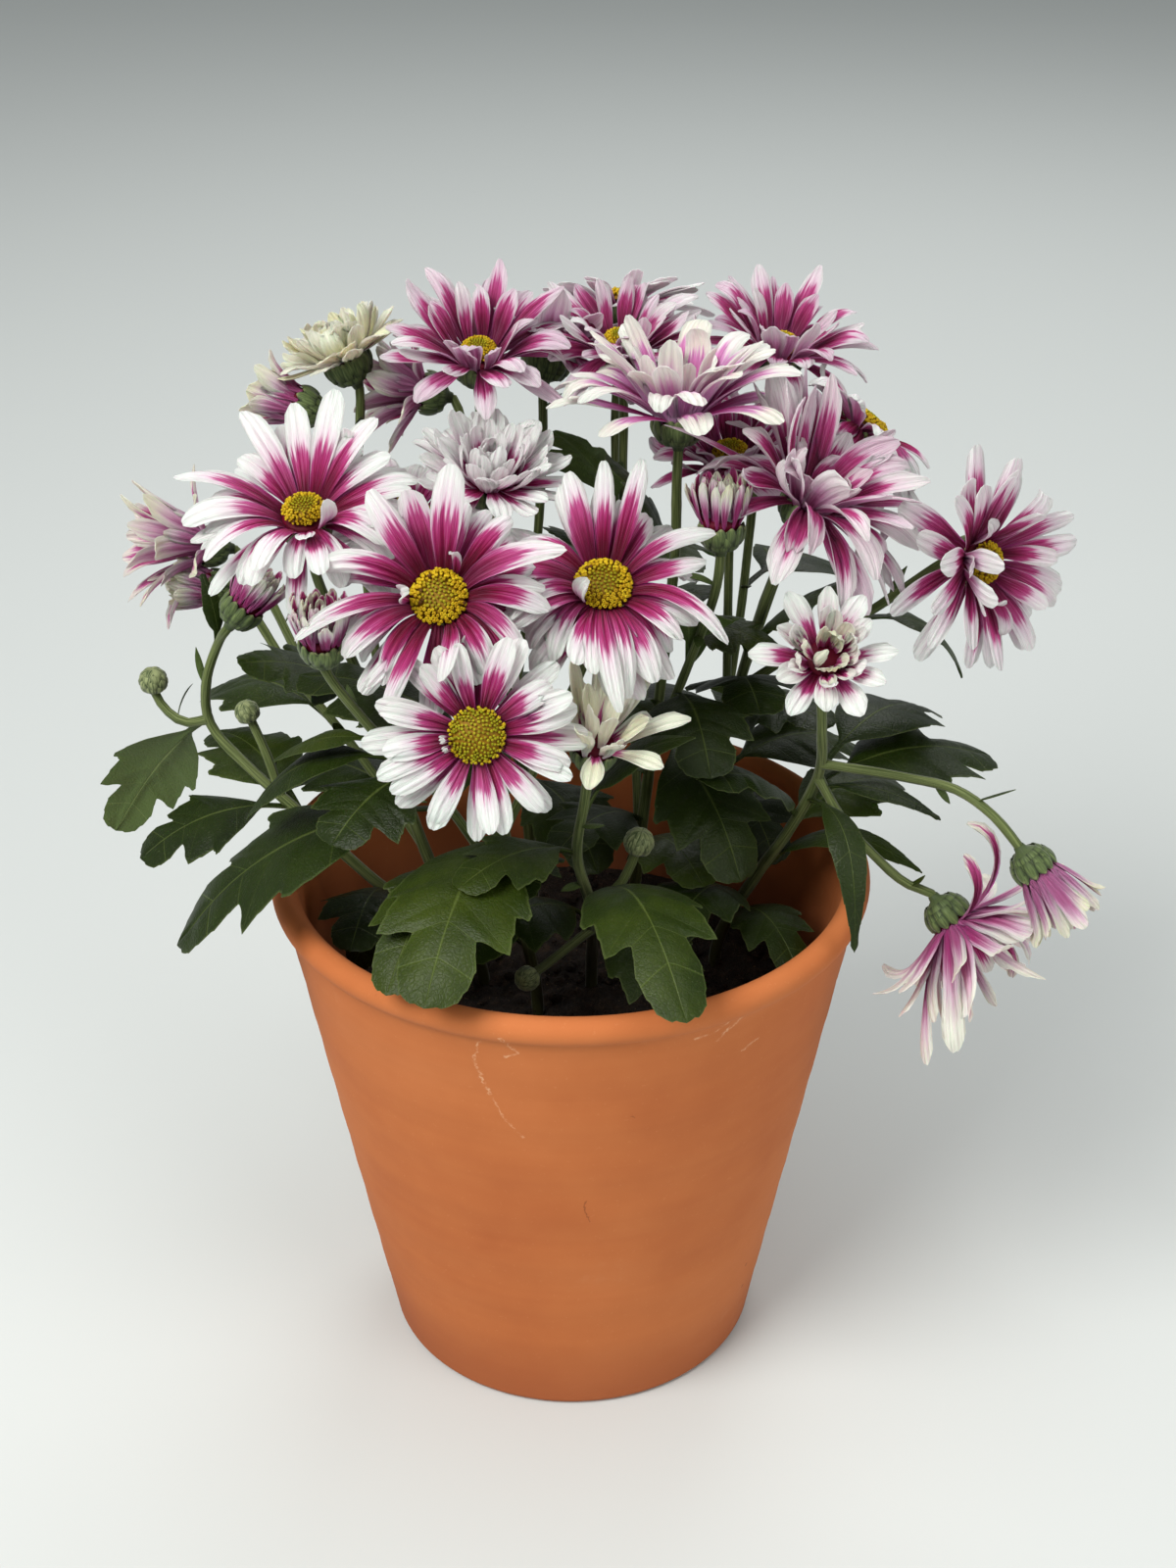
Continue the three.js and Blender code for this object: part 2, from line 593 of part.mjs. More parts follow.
// Rings of points round a curve, smaller towards its end. The first ring can be moved back.
function stemRings(curve, startRadius, endRadius, back = 0) {
  const steps = stemSteps(curve);
  const frames = curve.computeFrenetFrames(steps);
  return Array.from({ length: steps + 1 }, (_, i) => {
    const centre = curve.getPointAt(i / steps);
    if (i === 0) centre.addScaledVector(frames.tangents[0], -back);
    const radius = THREE.MathUtils.lerp(startRadius, endRadius, i / steps);
    return ringOf(centre, frames.normals[i], frames.binormals[i], radius, 0);
  });
}

// Corners of a stem's section, turned by a share of the angle between two corners.
function ringOf(centre, first, second, radius, turn) {
  return Array.from({ length: STEM_SIDES }, (_, k) => {
    const angle = (2 * Math.PI * (k + turn)) / STEM_SIDES;
    return centre
      .clone()
      .addScaledVector(first, radius * Math.cos(angle))
      .addScaledVector(second, radius * Math.sin(angle));
  });
}

// The frame of a head: its Z axis is the way it faces, its X axis is level.
function headFrame(head) {
  const bearing = radians(head.bearing);
  const rise = radians(head.rise);
  const flat = Math.cos(rise);
  const axis = new THREE.Vector3(flat * Math.cos(bearing), flat * Math.sin(bearing), Math.sin(rise));
  const across = new THREE.Vector3(-Math.sin(bearing), Math.cos(bearing), 0);
  const upright = new THREE.Vector3().crossVectors(axis, across);
  return new THREE.Matrix4().makeBasis(across, upright, axis).setPosition(vector(head.at));
}

// A point round an upright axis, by azimuth, radius and height.
function hubPoint(azimuth, radius, height) {
  return new THREE.Vector3(radius * Math.cos(azimuth), radius * Math.sin(azimuth), height);
}

// Rings round a head's axis, each [radius, height], with every second corner raised or sunk by a share:
// ribs and bumps.
function ribbed(frame, profile, sides, rib) {
  return skin(
    profile.map(([radius, height], row) => {
      if (radius === 0) return [new THREE.Vector3(0, 0, height).applyMatrix4(frame)];
      return Array.from({ length: sides }, (_, k) => {
        const angle = (2 * Math.PI * (k + (rib.turn ? row / 2 : 0))) / sides;
        const reach = radius * (k % 2 ? 1 + rib.share : 1 - rib.share);
        return hubPoint(angle, reach, height).applyMatrix4(frame);
      });
    }),
  );
}

// The rings by which the last ring of a stem opens into the green cup under a head. They are turned
// against each other, so that the cup's faces lie like its scales.
function calyxRings(stemEnd, head, frame) {
  const radius = CALYX_RADIUS * HEAD_KINDS[head.kind].size;
  const axis = new THREE.Vector3().setFromMatrixColumn(frame, 2);
  const middle = new THREE.Vector3();
  for (const point of stemEnd) middle.addScaledVector(point, 1 / stemEnd.length);
  const first = stemEnd[0].clone().sub(middle).projectOnPlane(axis).normalize();
  const second = new THREE.Vector3().crossVectors(axis, first);
  return CALYX_RINGS.map(([height, share, turn]) => {
    const centre = new THREE.Vector3(0, 0, height).applyMatrix4(frame);
    return ringOf(centre, first, second, radius * share, turn);
  });
}

// The domed disc of florets, bumpy all over.
function disc(head, frame) {
  const radius = DISC_RADIUS * HEAD_KINDS[head.kind].disc;
  const dome = DISC_RINGS.map(radians).map((angle) => {
    return [radius * Math.cos(angle), DISC_FOOT + DISC_HEIGHT * Math.sin(angle)];
  });
  const profile = [[DISC_FOOT_SHARE * radius, GAP], ...dome, [0, DISC_FOOT + DISC_HEIGHT]];
  return ribbed(frame, profile, DISC_SIDES, { share: DISC_BUMP, turn: true });
}

// The rings of one ray, in its head's frame: it leaves the hub at one angle above the head's plane and
// ends at another. Its section is a shallow V with a flat top, and its end is a point.
function rayRings(shape, stations) {
  const start = radians(shape.root);
  const bend = radians(shape.tip - shape.root) || LEAST_BEND;
  const outward = new THREE.Vector3(Math.cos(shape.heading), Math.sin(shape.heading), 0);
  const sideways = new THREE.Vector3(-outward.y, outward.x, 0);
  const axis = new THREE.Vector3(0, 0, 1);
  return stations.map(([along, widthShare]) => {
    const angle = start + bend * along;
    const centre = hubPoint(shape.azimuth, shape.rootRadius, HUB_EDGE)
      .addScaledVector(outward, (shape.length * (Math.sin(angle) - Math.sin(start))) / bend)
      .addScaledVector(axis, (shape.length * (Math.cos(start) - Math.cos(angle))) / bend)
      .addScaledVector(sideways, shape.sway * shape.length * along * along);
    if (widthShare === 0) return [centre];
    const normal = new THREE.Vector3()
      .addScaledVector(outward, -Math.sin(angle))
      .addScaledVector(axis, Math.cos(angle));
    const twist = shape.twist * along;
    const across = new THREE.Vector3()
      .addScaledVector(sideways, Math.cos(twist))
      .addScaledVector(normal, Math.sin(twist));
    const ahead = outward.clone().applyAxisAngle(sideways, -angle);
    const lift = new THREE.Vector3().crossVectors(ahead, across);
    const half = (shape.width * widthShare) / 2;
    const corners = [
      [-half, RAY_CUP * half],
      [half, RAY_CUP * half],
      [0, RAY_CUP * half - RAY_THICKNESS],
    ];
    return corners.map(([aside, above]) =>
      centre.clone().addScaledVector(across, aside).addScaledVector(lift, above),
    );
  });
}

// The ray of each slot round a hub, each a little different from the next by a seeded draw.
function rayShapes(head, seed) {
  const kind = HEAD_KINDS[head.kind];
  const random = seededRandom(seed);
  const spread = (range) => (random() * 2 - 1) * range;
  const slots = kind.pattern.length * kind.repeats;
  const rootRadius = HUB_RADIUS * kind.size;
  return Array.from({ length: slots }, (_, slot) => {
    const row = kind.rows[kind.pattern[slot % kind.pattern.length]];
    const azimuth = (2 * Math.PI * slot) / slots;
    return {
      azimuth,
      rootRadius,
      heading: azimuth + radians(spread(STRAY.heading)),
      root: row.root + spread(STRAY.root * row.wild),
      tip: row.tip + spread(STRAY.tip * row.wild),
      length: (head.reach - rootRadius) * row.length * (1 + spread(STRAY.length)),
      width: RAY_WIDTH * row.width * (1 + spread(STRAY.width)),
      twist: radians(spread(STRAY.twist * row.wild)),
      sway: spread(STRAY.sway * row.wild),
    };
  });
}

// The root of a ray: two corners on the edge of the hub, shared with the rays beside it, and one under
// it.
function rootRing(shape, slots) {
  const halfSlot = Math.PI / slots;
  return [
    hubPoint(shape.azimuth - halfSlot, shape.rootRadius, HUB_EDGE),
    hubPoint(shape.azimuth + halfSlot, shape.rootRadius, HUB_EDGE),
    hubPoint(shape.azimuth, shape.rootRadius, HUB_BOTTOM),
  ];
}

// All rays of a head and their hub, in one skin. A slot whose ray is null stays closed.
function headRays(frame, slotShapes, rootShapes) {
  const slots = rootShapes.length;
  const points = [new THREE.Vector3(0, 0, 0), new THREE.Vector3(0, 0, HUB_BOTTOM)];
  const corner = (slot) => 2 + (slot % slots);
  const keel = (slot) => 2 + slots + (slot % slots);
  for (const shape of rootShapes) points.push(rootRing(shape, slots)[0]);
  for (const shape of rootShapes) points.push(rootRing(shape, slots)[2]);
  const faces = [];
  for (let slot = 0; slot < slots; slot += 1) {
    faces.push([0, corner(slot), corner(slot + 1)]);
    faces.push([1, keel(slot + 1), keel(slot)]);
    faces.push([corner(slot + 1), keel(slot), keel(slot + 1)]);
    let ring = [corner(slot), corner(slot + 1), keel(slot)];
    for (const next of slotShapes[slot] ? rayRings(slotShapes[slot], RAY_STATIONS) : []) {
      const nextRing = next.map((point) => points.push(point) - 1);
      for (let k = 0; k < 3; k += 1) {
        const following = (k + 1) % 3;
        const ahead = nextRing.length > 1 ? nextRing[following] : nextRing[0];
        faces.push([ring[k], ahead, ring[following]]);
        if (nextRing.length > 1) faces.push([ring[k], nextRing[k], ahead]);
      }
      ring = nextRing;
    }
    if (ring.length > 1) faces.push([ring[0], ring[2], ring[1]]);
  }
  return solid(points.map((point) => point.applyMatrix4(frame)), faces);
}

// One ray as a body of its own, to try where it fits: whole, or only the part past the crowd round the
// hub.
function loneRay(frame, shape, slots, whole) {
  const root = whole ? [rootRing(shape, slots)] : rayRings(shape, [FREE_STATION]);
  const rings = [...root, ...rayRings(shape, RAY_STATIONS)];
  return skin(rings.map((ring) => ring.map((point) => point.applyMatrix4(frame))));
}

// A leaf: its rib is an arch from foot to tip, its two halves hang a little from the rib, and its foot
// is a stalk.
function leafSolid(leaf, foot) {
  const chord = vector(leaf.to).sub(foot);
  const length = chord.length();
  const side = new THREE.Vector3().crossVectors(chord, UP).normalize();
  side.applyAxisAngle(chord.clone().normalize(), radians(leaf.roll ?? 0));
  const above = new THREE.Vector3().crossVectors(side, chord).normalize();
  const top = foot.clone().addScaledVector(chord, 0.5).addScaledVector(above, 2 * leaf.arch * length);
  const rib = new THREE.QuadraticBezierCurve3(foot, top, foot.clone().add(chord));
  const rings = LEAF_SHAPES[leaf.shape].map(([ribAlong, edgeAlong, share]) => {
    const ribPoint = rib.getPoint(ribAlong);
    if (ribAlong === 1) return [ribPoint];
    const half = Math.max(PETIOLE_HALF_WIDTH, (share * leaf.width) / 2);
    const lift = new THREE.Vector3().crossVectors(side, rib.getTangent(edgeAlong));
    const edge = (sign) =>
      rib
        .getPoint(edgeAlong)
        .addScaledVector(side, sign * half)
        .addScaledVector(lift, -LEAF_HANG * half);
    return [
      ribPoint.clone().addScaledVector(lift, LEAF_THICKNESS / 2),
      edge(1),
      ribPoint.clone().addScaledVector(lift, -LEAF_THICKNESS / 2),
      edge(-1),
    ];
  });
  return skin(rings);
}

// A small closed green bud.
function greenBud(at, radius) {
  const frame = new THREE.Matrix4().setPosition(vector(at));
  const profile = BUD_RINGS.map((degrees) => {
    return [radius * Math.cos(radians(degrees)), radius * Math.sin(radians(degrees))];
  });
  return ribbed(frame, profile, BUD_SIDES, { share: BUD_BUMP });
}

// What has been placed so far: each solid with its box and the node it belongs to.
const placed = [];

function place(owner, body) {
  placed.push({ owner, body, box: body.boundingBox() });
}

function boxesMeet(a, b, gap) {
  return [0, 1, 2].every((k) => a.min[k] - gap < b.max[k] && b.min[k] - gap < a.max[k]);
}

// True if a body keeps its distance from all that other nodes have placed, and from the given pieces of
// its own node.
function isClear(owner, body, gap, siblings = []) {
  const box = body.boundingBox();
  return placed.every((other) => {
    if (other.owner === owner && !siblings.includes(other.body)) return true;
    return !boxesMeet(box, other.box, gap) || body.minGap(other.body, gap) >= CLOSE_ENOUGH * gap;
  });
}

// Every mix of the given turns and sizes, the mildest first.
function mixes({ pitches, yaws, sizes }) {
  const all = sizes.flatMap((size) => {
    return pitches.flatMap((pitch) => yaws.map((yaw) => ({ pitch, yaw, size })));
  });
  const strength = ({ pitch, yaw, size }) => {
    return Math.abs(pitch) + Math.abs(yaw) + SHRINKING_COST * (1 - size);
  };
  return all.sort((a, b) => strength(a) - strength(b));
}

function turnedAbout(body, point, pitchAxis, { pitch, yaw, size }) {
  const turn = new THREE.Matrix4()
    .makeTranslation(point)
    .multiply(new THREE.Matrix4().makeRotationZ(radians(yaw)))
    .multiply(new THREE.Matrix4().makeRotationAxis(pitchAxis, radians(pitch)))
    .multiply(new THREE.Matrix4().makeScale(size, size, size))
    .multiply(new THREE.Matrix4().makeTranslation(point.clone().negate()));
  return body.transform(turn.elements);
}

function addMesh(name, body, look) {
  const mesh = body.getMesh();
  const geometry = new THREE.BufferGeometry();
  geometry.setAttribute("position", new THREE.BufferAttribute(mesh.vertProperties, mesh.numProp));
  geometry.setIndex(new THREE.BufferAttribute(mesh.triVerts, 1));
  const material = new THREE.MeshStandardMaterial({ metalness: 0, ...look });
  const part = new THREE.Mesh(geometry.toNonIndexed(), material);
  part.geometry.computeVertexNormals();
  part.name = name;
  plant.add(part);
}

// All that was placed for a node, joined in one body. Specks that a join leaves are smoothed away.
function joined(owner) {
  const bodies = placed.filter((piece) => piece.owner === owner).map((piece) => piece.body);
  const pieces = Manifold.union(bodies).simplify(WELD).decompose();
  return pieces.sort((a, b) => b.volume() - a.volume())[0];
}

// The nearest point to a given one on the middle lines of a spray's stems.
function nearestOn(lines, point) {
  let best = null;
  for (const line of lines) {
    for (let i = 0; i + 1 < line.length; i += 1) {
      const near = new THREE.Vector3();
      new THREE.Line3(line[i], line[i + 1]).closestPointToPoint(point, true, near);
      if (!best || near.distanceTo(point) < best.distanceTo(point)) best = near;
    }
  }
  return best;
}

// The points of a stem. A trunk starts upright in the soil, and a stem with a head goes on into the
// head's calyx.
function stemPoints(path, frame) {
  const points = path.flatMap((point) => {
    if (point.length === 3) return [vector(point)];
    return [vector([...point, SOIL_TOP - ROOT_DEPTH]), vector([...point, SOIL_TOP + ROOT_RISE])];
  });
  if (!frame) return points;
  const calyxPoint = (height) => new THREE.Vector3(0, 0, height).applyMatrix4(frame);
  return [...points, calyxPoint(CALYX_BOTTOM - 1), calyxPoint(CALYX_BOTTOM + 2)];
}

place("terracotta_pot", potSolid());

// Green parts of each spray: stems, calyxes and closed buds. A branch starts in the middle of the stem
// it grows from.
const soilHoles = [];
const middleLines = new Map(SPRAYS.map(({ name }) => [name, []]));
for (const spray of SPRAYS) {
  const owner = `spray_${spray.name}`;
  const lines = middleLines.get(spray.name);
  spray.stems.forEach(({ head: headName, bud, path }, i) => {
    const head = HEADS.find(({ name }) => name === headName);
    const frame = head && headFrame(head);
    const points = stemPoints(path, frame);
    if (i > 0) points[0].copy(nearestOn(lines, points[0]));
    const curve = new THREE.CatmullRomCurve3(points);
    const startRadius = i === 0 ? TRUNK_RADIUS : BRANCH_RADIUS;
    const rings = stemRings(curve, startRadius, BRANCH_RADIUS);
    place(owner, skin(head ? [...rings, ...calyxRings(rings.at(-1), head, frame)] : rings));
    if (bud) place(owner, greenBud(path.at(-1), bud));
    if (i === 0) {
      const holeRadius = startRadius + STEM_HOLE_GAP;
      soilHoles.push(skin(stemRings(curve, holeRadius, BRANCH_RADIUS, STEM_HOLE_GAP)));
    }
    lines.push(curve.getSpacedPoints(stemSteps(curve)));
  });
}
place("soil", soilSolid(soilHoles));

// Hubs and discs of all heads, then their rays.
const headParts = HEADS.map((head, i) => {
  const frame = headFrame(head);
  const shapes = rayShapes(head, i + 1);
  const none = shapes.map(() => null);
  place(`rays_${head.name}`, headRays(frame, none, shapes));
  if (HEAD_KINDS[head.kind].disc) place(`disc_${head.name}`, disc(head, frame));
  return { owner: `rays_${head.name}`, frame, shapes, settled: none };
});
const rayTurns = mixes(RAY_TURNS);
for (const part of headParts) {
  const siblings = [];
  part.shapes.forEach((shape, slot) => {
    const turnedShape = ({ pitch, yaw, size }) => ({
      ...shape,
      heading: shape.heading + radians(yaw),
      root: shape.root + pitch / 2,
      tip: shape.tip + pitch,
      length: shape.length * size,
    });
    for (const turn of rayTurns) {
      const candidate = turnedShape(turn);
      const free = loneRay(part.frame, candidate, part.shapes.length, false);
      if (siblings.some((sibling) => sibling.minGap(free, SIBLING_CLEAR) < SIBLING_CLEAR)) continue;
      const whole = loneRay(part.frame, candidate, part.shapes.length, true);
      if (!isClear(part.owner, whole, RAY_CLEAR)) continue;
      siblings.push(free);
      part.settled[slot] = candidate;
      place(part.owner, whole);
      break;
    }
  });
}

// Leaves, turned about their feet until they are clear of other nodes and of the leaves beside them.
const leafTurns = mixes(LEAF_TURNS);
for (const spray of SPRAYS) {
  const owner = `spray_${spray.name}`;
  const siblings = [];
  for (const leaf of spray.leaves) {
    const foot = nearestOn(middleLines.get(spray.name), vector(leaf.from));
    const side = vector(leaf.to).sub(foot).cross(UP).normalize();
    const body = leafSolid(leaf, foot);
    const candidates = leafTurns.map((turn) => turnedAbout(body, foot, side, turn));
    const settled = candidates.find((candidate) => isClear(owner, candidate, LEAF_CLEAR, siblings));
    if (!settled) continue;
    siblings.push(settled);
    place(owner, settled);
  }
}

const looks = [
  ["terracotta_pot", COLOURS.terracotta],
  ["soil", COLOURS.soil],
  ...SPRAYS.map(({ name }) => [`spray_${name}`, COLOURS.green]),
  ...HEADS.map(({ name }) => [`rays_${name}`, COLOURS.rays]),
  ...HEADS.filter(({ kind }) => HEAD_KINDS[kind].disc).map(({ name }) => [`disc_${name}`, COLOURS.disc]),
];
const headBodies = new Map(
  headParts.map(({ owner, frame, shapes, settled }) => [owner, headRays(frame, settled, shapes)]),
);
for (const [name, look] of looks) addMesh(name, headBodies.get(name) ?? joined(name), look);

export default plant;
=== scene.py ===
"""The looks of a pot chrysanthemum in a terracotta pot. Lengths are in millimetres, as in the source."""

import math

import bpy
import numpy as np
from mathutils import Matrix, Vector
from mathutils.kdtree import KDTree


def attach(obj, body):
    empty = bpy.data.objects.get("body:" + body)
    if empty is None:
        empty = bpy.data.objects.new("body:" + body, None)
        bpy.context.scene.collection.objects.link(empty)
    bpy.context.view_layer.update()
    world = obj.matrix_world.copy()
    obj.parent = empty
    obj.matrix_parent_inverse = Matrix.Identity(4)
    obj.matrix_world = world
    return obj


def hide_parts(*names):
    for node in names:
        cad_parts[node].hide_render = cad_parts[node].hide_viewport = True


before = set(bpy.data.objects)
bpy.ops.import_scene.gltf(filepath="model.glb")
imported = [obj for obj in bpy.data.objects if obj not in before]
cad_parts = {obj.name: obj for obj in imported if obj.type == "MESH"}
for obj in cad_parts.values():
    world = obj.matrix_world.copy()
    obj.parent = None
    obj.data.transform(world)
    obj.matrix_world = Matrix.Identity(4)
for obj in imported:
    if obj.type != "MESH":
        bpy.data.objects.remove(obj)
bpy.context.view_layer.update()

MM = 0.001  # metres
UP = np.array([0.0, 0.0, 1.0])
PLAIN = (0, 0, 0, 0)

# Seeds of the random draws. The first three have the number of the head or spray added.
RAY_SEED = 100
DISC_SEED = 900
SPRAY_SEED = 300
CRUMB_SEED = 5

# Pot.
POT_HEIGHT = 160
FOOT_RADIUS = 56.5
FOOT_ROUND = 2.5
FOOT_STEPS = 7
UNDERSIDE_RADIUS = 30
LIP_RADIUS = 86.5
LIP_CENTRE_HEIGHT = 156
LIP_STEPS = 19
GROOVE_RADIUS = 83.3
GROOVE_HEIGHT = 152.2
MOUTH_RADIUS = 79
# The lip's step at which the inside begins.
MOUTH_STEP = 13
FLOOR_THICKNESS = 8
FLOOR_RADIUS = 51.5
FLOOR_EDGE = FLOOR_THICKNESS + FOOT_ROUND
DRAIN_RADIUS = 10
DRAIN_EDGE = DRAIN_RADIUS + 0.4
POT_SIDES = 120
POT_RINGS = 52
INNER_RINGS = 24
# How uneven the wall is, and the heights between which that fades in and out.
WAVER = 0.09
TURNING = 0.04
OVAL = 0.15
WALL_FOOT = (6, 20)
WALL_TOP = (158, 146)

# Marks on the front of the pot, in x and height.
SALT_LINES = [
    [(-22, 152.5), (-24, 149), (-25, 142), (-21.5, 132.5), (-19, 125), (-12.5, 116)],
    [(-17.5, 155), (-15.5, 150.5), (-13.5, 148), (-17, 146)],
    [(33, 148.5), (38.5, 149), (43.5, 152)],
    [(39.5, 145.5), (42.5, 148.5), (46.5, 151.5)],
    [(46.5, 138), (50.5, 140)],
]
SCORED_LINES = [[(4.5, 91), (4, 88), (5.2, 82.5)], [(16.6, 123.6), (17.2, 123)]]

# Soil.
SOIL_TOP = 115
SOIL_LUMP = 2.2
SOIL_RINGS = 44
SOIL_SIDES = 120
SOIL_SIDE_RINGS = 12
SOIL_CRUMBS = 300
GAP = 0.3

# Heads.
HUB_RADIUS = 6
HUB_EDGE = -0.6
HUB_SIDES = 24
CALYX_TOP = -2.4
CALYX_BOTTOM = -9.5
CALYX_RADIUS = 7.2
CALYX_SIDES = 20
CALYX_SCALE_WIDTH = 3.6
# Rows of scales on a calyx: count, share of the radius, height, length, bend and slope.
CALYX_ROWS = [
    (11, 0.62, 1.3, 5.4, 0.62, 0.55),
    (12, 0.84, 2.9, 5.6, 0.35, 0.28),
    (13, 0.93, 4.2, 4.8, 0.05, 0.05),
]
DISC_RADIUS = 7
DISC_FOOT = 1
DISC_RISE = 2.9
DISC_TILT = math.radians(72)
FLORET_SIDES = 5
GOLDEN_TURN = 2.39996
RAY_WIDTH = 8.2
RAY_START = -0.12
RAY_LINE_STEPS = 80
STRAY = dict(heading=4, root=3, tip=9, length=0.08, width=0.1, twist=9, sway=0.05)
# How far the further rays stray from their ring.
RING_STRAY = dict(heading=0.12, root=6, length=(0.9, 1.08), width=(0.88, 1.1), twist=0.25, sway=0.06)
# Turns and sizes that the part's source tries where rays cross, and how near a tip then comes to the solid's.
RAY_TURNS = ([0, 8, -8, 16, -16, 26, -26, 38], [0, 5, -5, 10, -10], [1, 0.85, 0.7])
RAY_MATCH = 0.03

# Stems, buds and leaves.
TRUNK_RADIUS = 2.2
BRANCH_RADIUS = 1.5
STEM_SLIMNESS = 0.88
STEM_SIDES = 10
STEM_RING_STEP = 3.2
KNOT_STEP = 23
STEM_BROWNING = (165, 122)
ROOT_DEPTH = 22
ROOT_RISE = 6
STEM_STEP = 28
BUD_RINGS = 9
BUD_SIDES = 16
# Rows of scales on a bud: count, and height as a share of the radius.
BUD_ROWS = [(7, -0.75), (8, -0.35), (8, 0.1), (6, 0.5)]
BRACT_GRID = (6, 5)
SMALL_BRACT_GRID = (9, 3)
SMALL_BRACT_FLOOR = 165
SMALL_BRACT_PLACES = (0.45, 0.66, 0.84)
LEAF_HANG = 0.16
LEAF_GRID = (66, 5)
LEAF_MATCH = 0.06
USUAL_LEAF_WIDTH = 36
PETIOLE_HALF_WIDTH = 1.1
LEAF_TURNS = (
    [0, 6, -6, 12, -12, 20, -20, 28, -28],
    [0, 8, -8, 16, -16, 26, -26, 36, -36],
    [1, 0.9, 0.8, 0.68],
)
SHRINKING_COST = 60

# Lights and camera, in metres: each light with its place, the height it shines at, size, power and colour.
LIGHTS = {
    "window": ((-0.75, -0.8, 1.35), 0.2, 0.9, 26.5, (1.0, 0.985, 0.96)),
    "fill": ((1.1, -1.0, 0.9), 0.2, 1.2, 9.0, (1.0, 0.99, 0.97)),
    "above": ((0.1, -0.15, 1.6), 0.2, 1.1, 5.0, (1.0, 1.0, 1.0)),
    "rim": ((0.3, 1.2, 1.3), 0.25, 0.9, 8.0, (1.0, 1.0, 1.0)),
}
SKY_COLOUR = (214, 219, 220)
SKY_STRENGTH = 0.42
CAMERA_AT = (0.005, -0.584, 0.511)
CAMERA_PITCH = math.radians(-29.3)
CAMERA_LENS = 54
CAMERA_SENSOR = 36
STAGE_REACH = 6


def ring(count, offset, root, tip, length, width, radius=0.9, wild=12, stray=0.1, arc=(0, 360), **look):
    """A ring of further rays, with what is its own in their look."""
    return dict(
        count=count, offset=offset, root=root, tip=tip, length=length, width=width, radius=radius, wild=wild,
        stray=stray, arc=arc, look=look,
    )


# Kinds of head: the sizes of hub and disc, the row that each slot takes, repeats of that pattern, and rows of
# rays with angles above the head's own plane at root and tip, length, width and wildness.
HEAD_KINDS = {
    "open": dict(size=1, disc=1, pattern=(0, 1), repeats=8, rows=(
        (2, -8, 1, 1, 1), (24, 8, 0.92, 0.95, 1.2),
    )),
    "droopy": dict(size=1, disc=1, pattern=(0, 1), repeats=8, rows=(
        (2, -34, 1, 1, 2), (28, 6, 0.95, 0.9, 2.2),
    )),
    "shaggy": dict(size=1, disc=0.8, pattern=(0, 1), repeats=8, rows=(
        (0, -44, 1, 1, 2.2), (50, 34, 1, 0.95, 2.2),
    )),
    "cup": dict(size=1, disc=0.8, pattern=(0, 1), repeats=8, rows=(
        (12, -6, 0.95, 1.05, 1.6), (54, 40, 1, 1.05, 1.2),
    )),
    "bowl": dict(size=1, disc=0.8, pattern=(0, 1), repeats=8, rows=(
        (26, 2, 0.98, 1, 1.6), (62, 44, 1, 1.05, 1.2),
    )),
    "dense": dict(size=0.95, disc=0, pattern=(0, 1, 0, 1, 2), repeats=4, rows=(
        (8, 14, 1, 0.8, 1.2), (38, 62, 0.85, 0.75, 0.8), (62, 92, 0.62, 0.6, 0.6),
    )),
    "opening": dict(size=0.85, disc=0, pattern=(0, 1), repeats=6, rows=(
        (26, 14, 1, 0.8, 1.4), (58, 70, 0.75, 0.6, 1),
    )),
    "bundle": dict(size=0.85, disc=0, pattern=(0, 1), repeats=5, rows=(
        (66, 74, 1, 0.46, 0.5), (84, 88, 0.9, 0.36, 0.4),
    )),
    "nodding": dict(size=0.9, disc=0, pattern=(0, 1), repeats=7, rows=(
        (18, 6, 0.9, 0.85, 3.4), (52, 60, 1, 0.85, 2),
    )),
}

# Heads: the kind, the top of the hub, the bearing and rise of the way each faces, and the reach of its rays.
HEADS = {
    "front_low": ("open", (-23, -60, 231), -90, 28, 29),
    "front_high": ("droopy", (-33, -36, 258), -95, 42, 35),
    "centre": ("droopy", (9, -29, 258), -85, 56, 34),
    "left_high": ("open", (-69, -14, 272), -95, 68, 34),
    "back_left": ("cup", (-25, 36, 298), -80, 74, 31),
    "back_left_far": ("cup", (-6, 58, 292), 60, 70, 29),
    "top": ("bowl", (29, 10, 291), 100, 84, 37),
    "back_centre": ("cup", (14, 44, 298), -80, 78, 29),
    "far_centre": ("open", (14, 75, 300), 95, 66, 28),
    "far_right": ("cup", (60, 62, 291), -40, 76, 30),
    "back_right": ("droopy", (82, 40, 276), 20, 50, 28),
    "right_high": ("shaggy", (64, -4, 272), -16, 64, 37),
    "right_inner": ("cup", (45, 37, 268), -110, 76, 26),
    "right_side": ("open", (111, -2, 253), -52, 12, 33),
    "left_inner": ("open", (-44, 4, 262), -95, 65, 26),
    "half_open_right": ("opening", (66, -40, 243), -90, 45, 21),
    "half_open_white": ("dense", (-21, 4, 275), -60, 75, 24),
    "half_open_cream": ("dense", (-64, 54, 292), 165, 66, 21),
    "half_open_back": ("opening", (-44, 60, 279), 180, 12, 22),
    "half_open_left": ("opening", (-110, 58, 232), -165, 14, 27),
    "opening_front": ("opening", (7, -50, 224), -60, 72, 22),
    "nodding_low": ("nodding", (107, -33, 157), -33, -44, 38),
    "nodding_side": ("bundle", (126, -48, 182), -25, -48, 23),
    "bud_right": ("bundle", (40, -12, 270), 90, 85, 17),
    "bud_back_left": ("bundle", (-79, 50, 279), 175, 20, 17),
    "bud_left_low": ("bundle", (-109, 54, 220), 175, 12, 16),
    "bud_left": ("bundle", (-90, 15, 234), 15, 52, 16),
    "bud_front_left": ("bundle", (-63, -41, 250), -90, 82, 16),
}

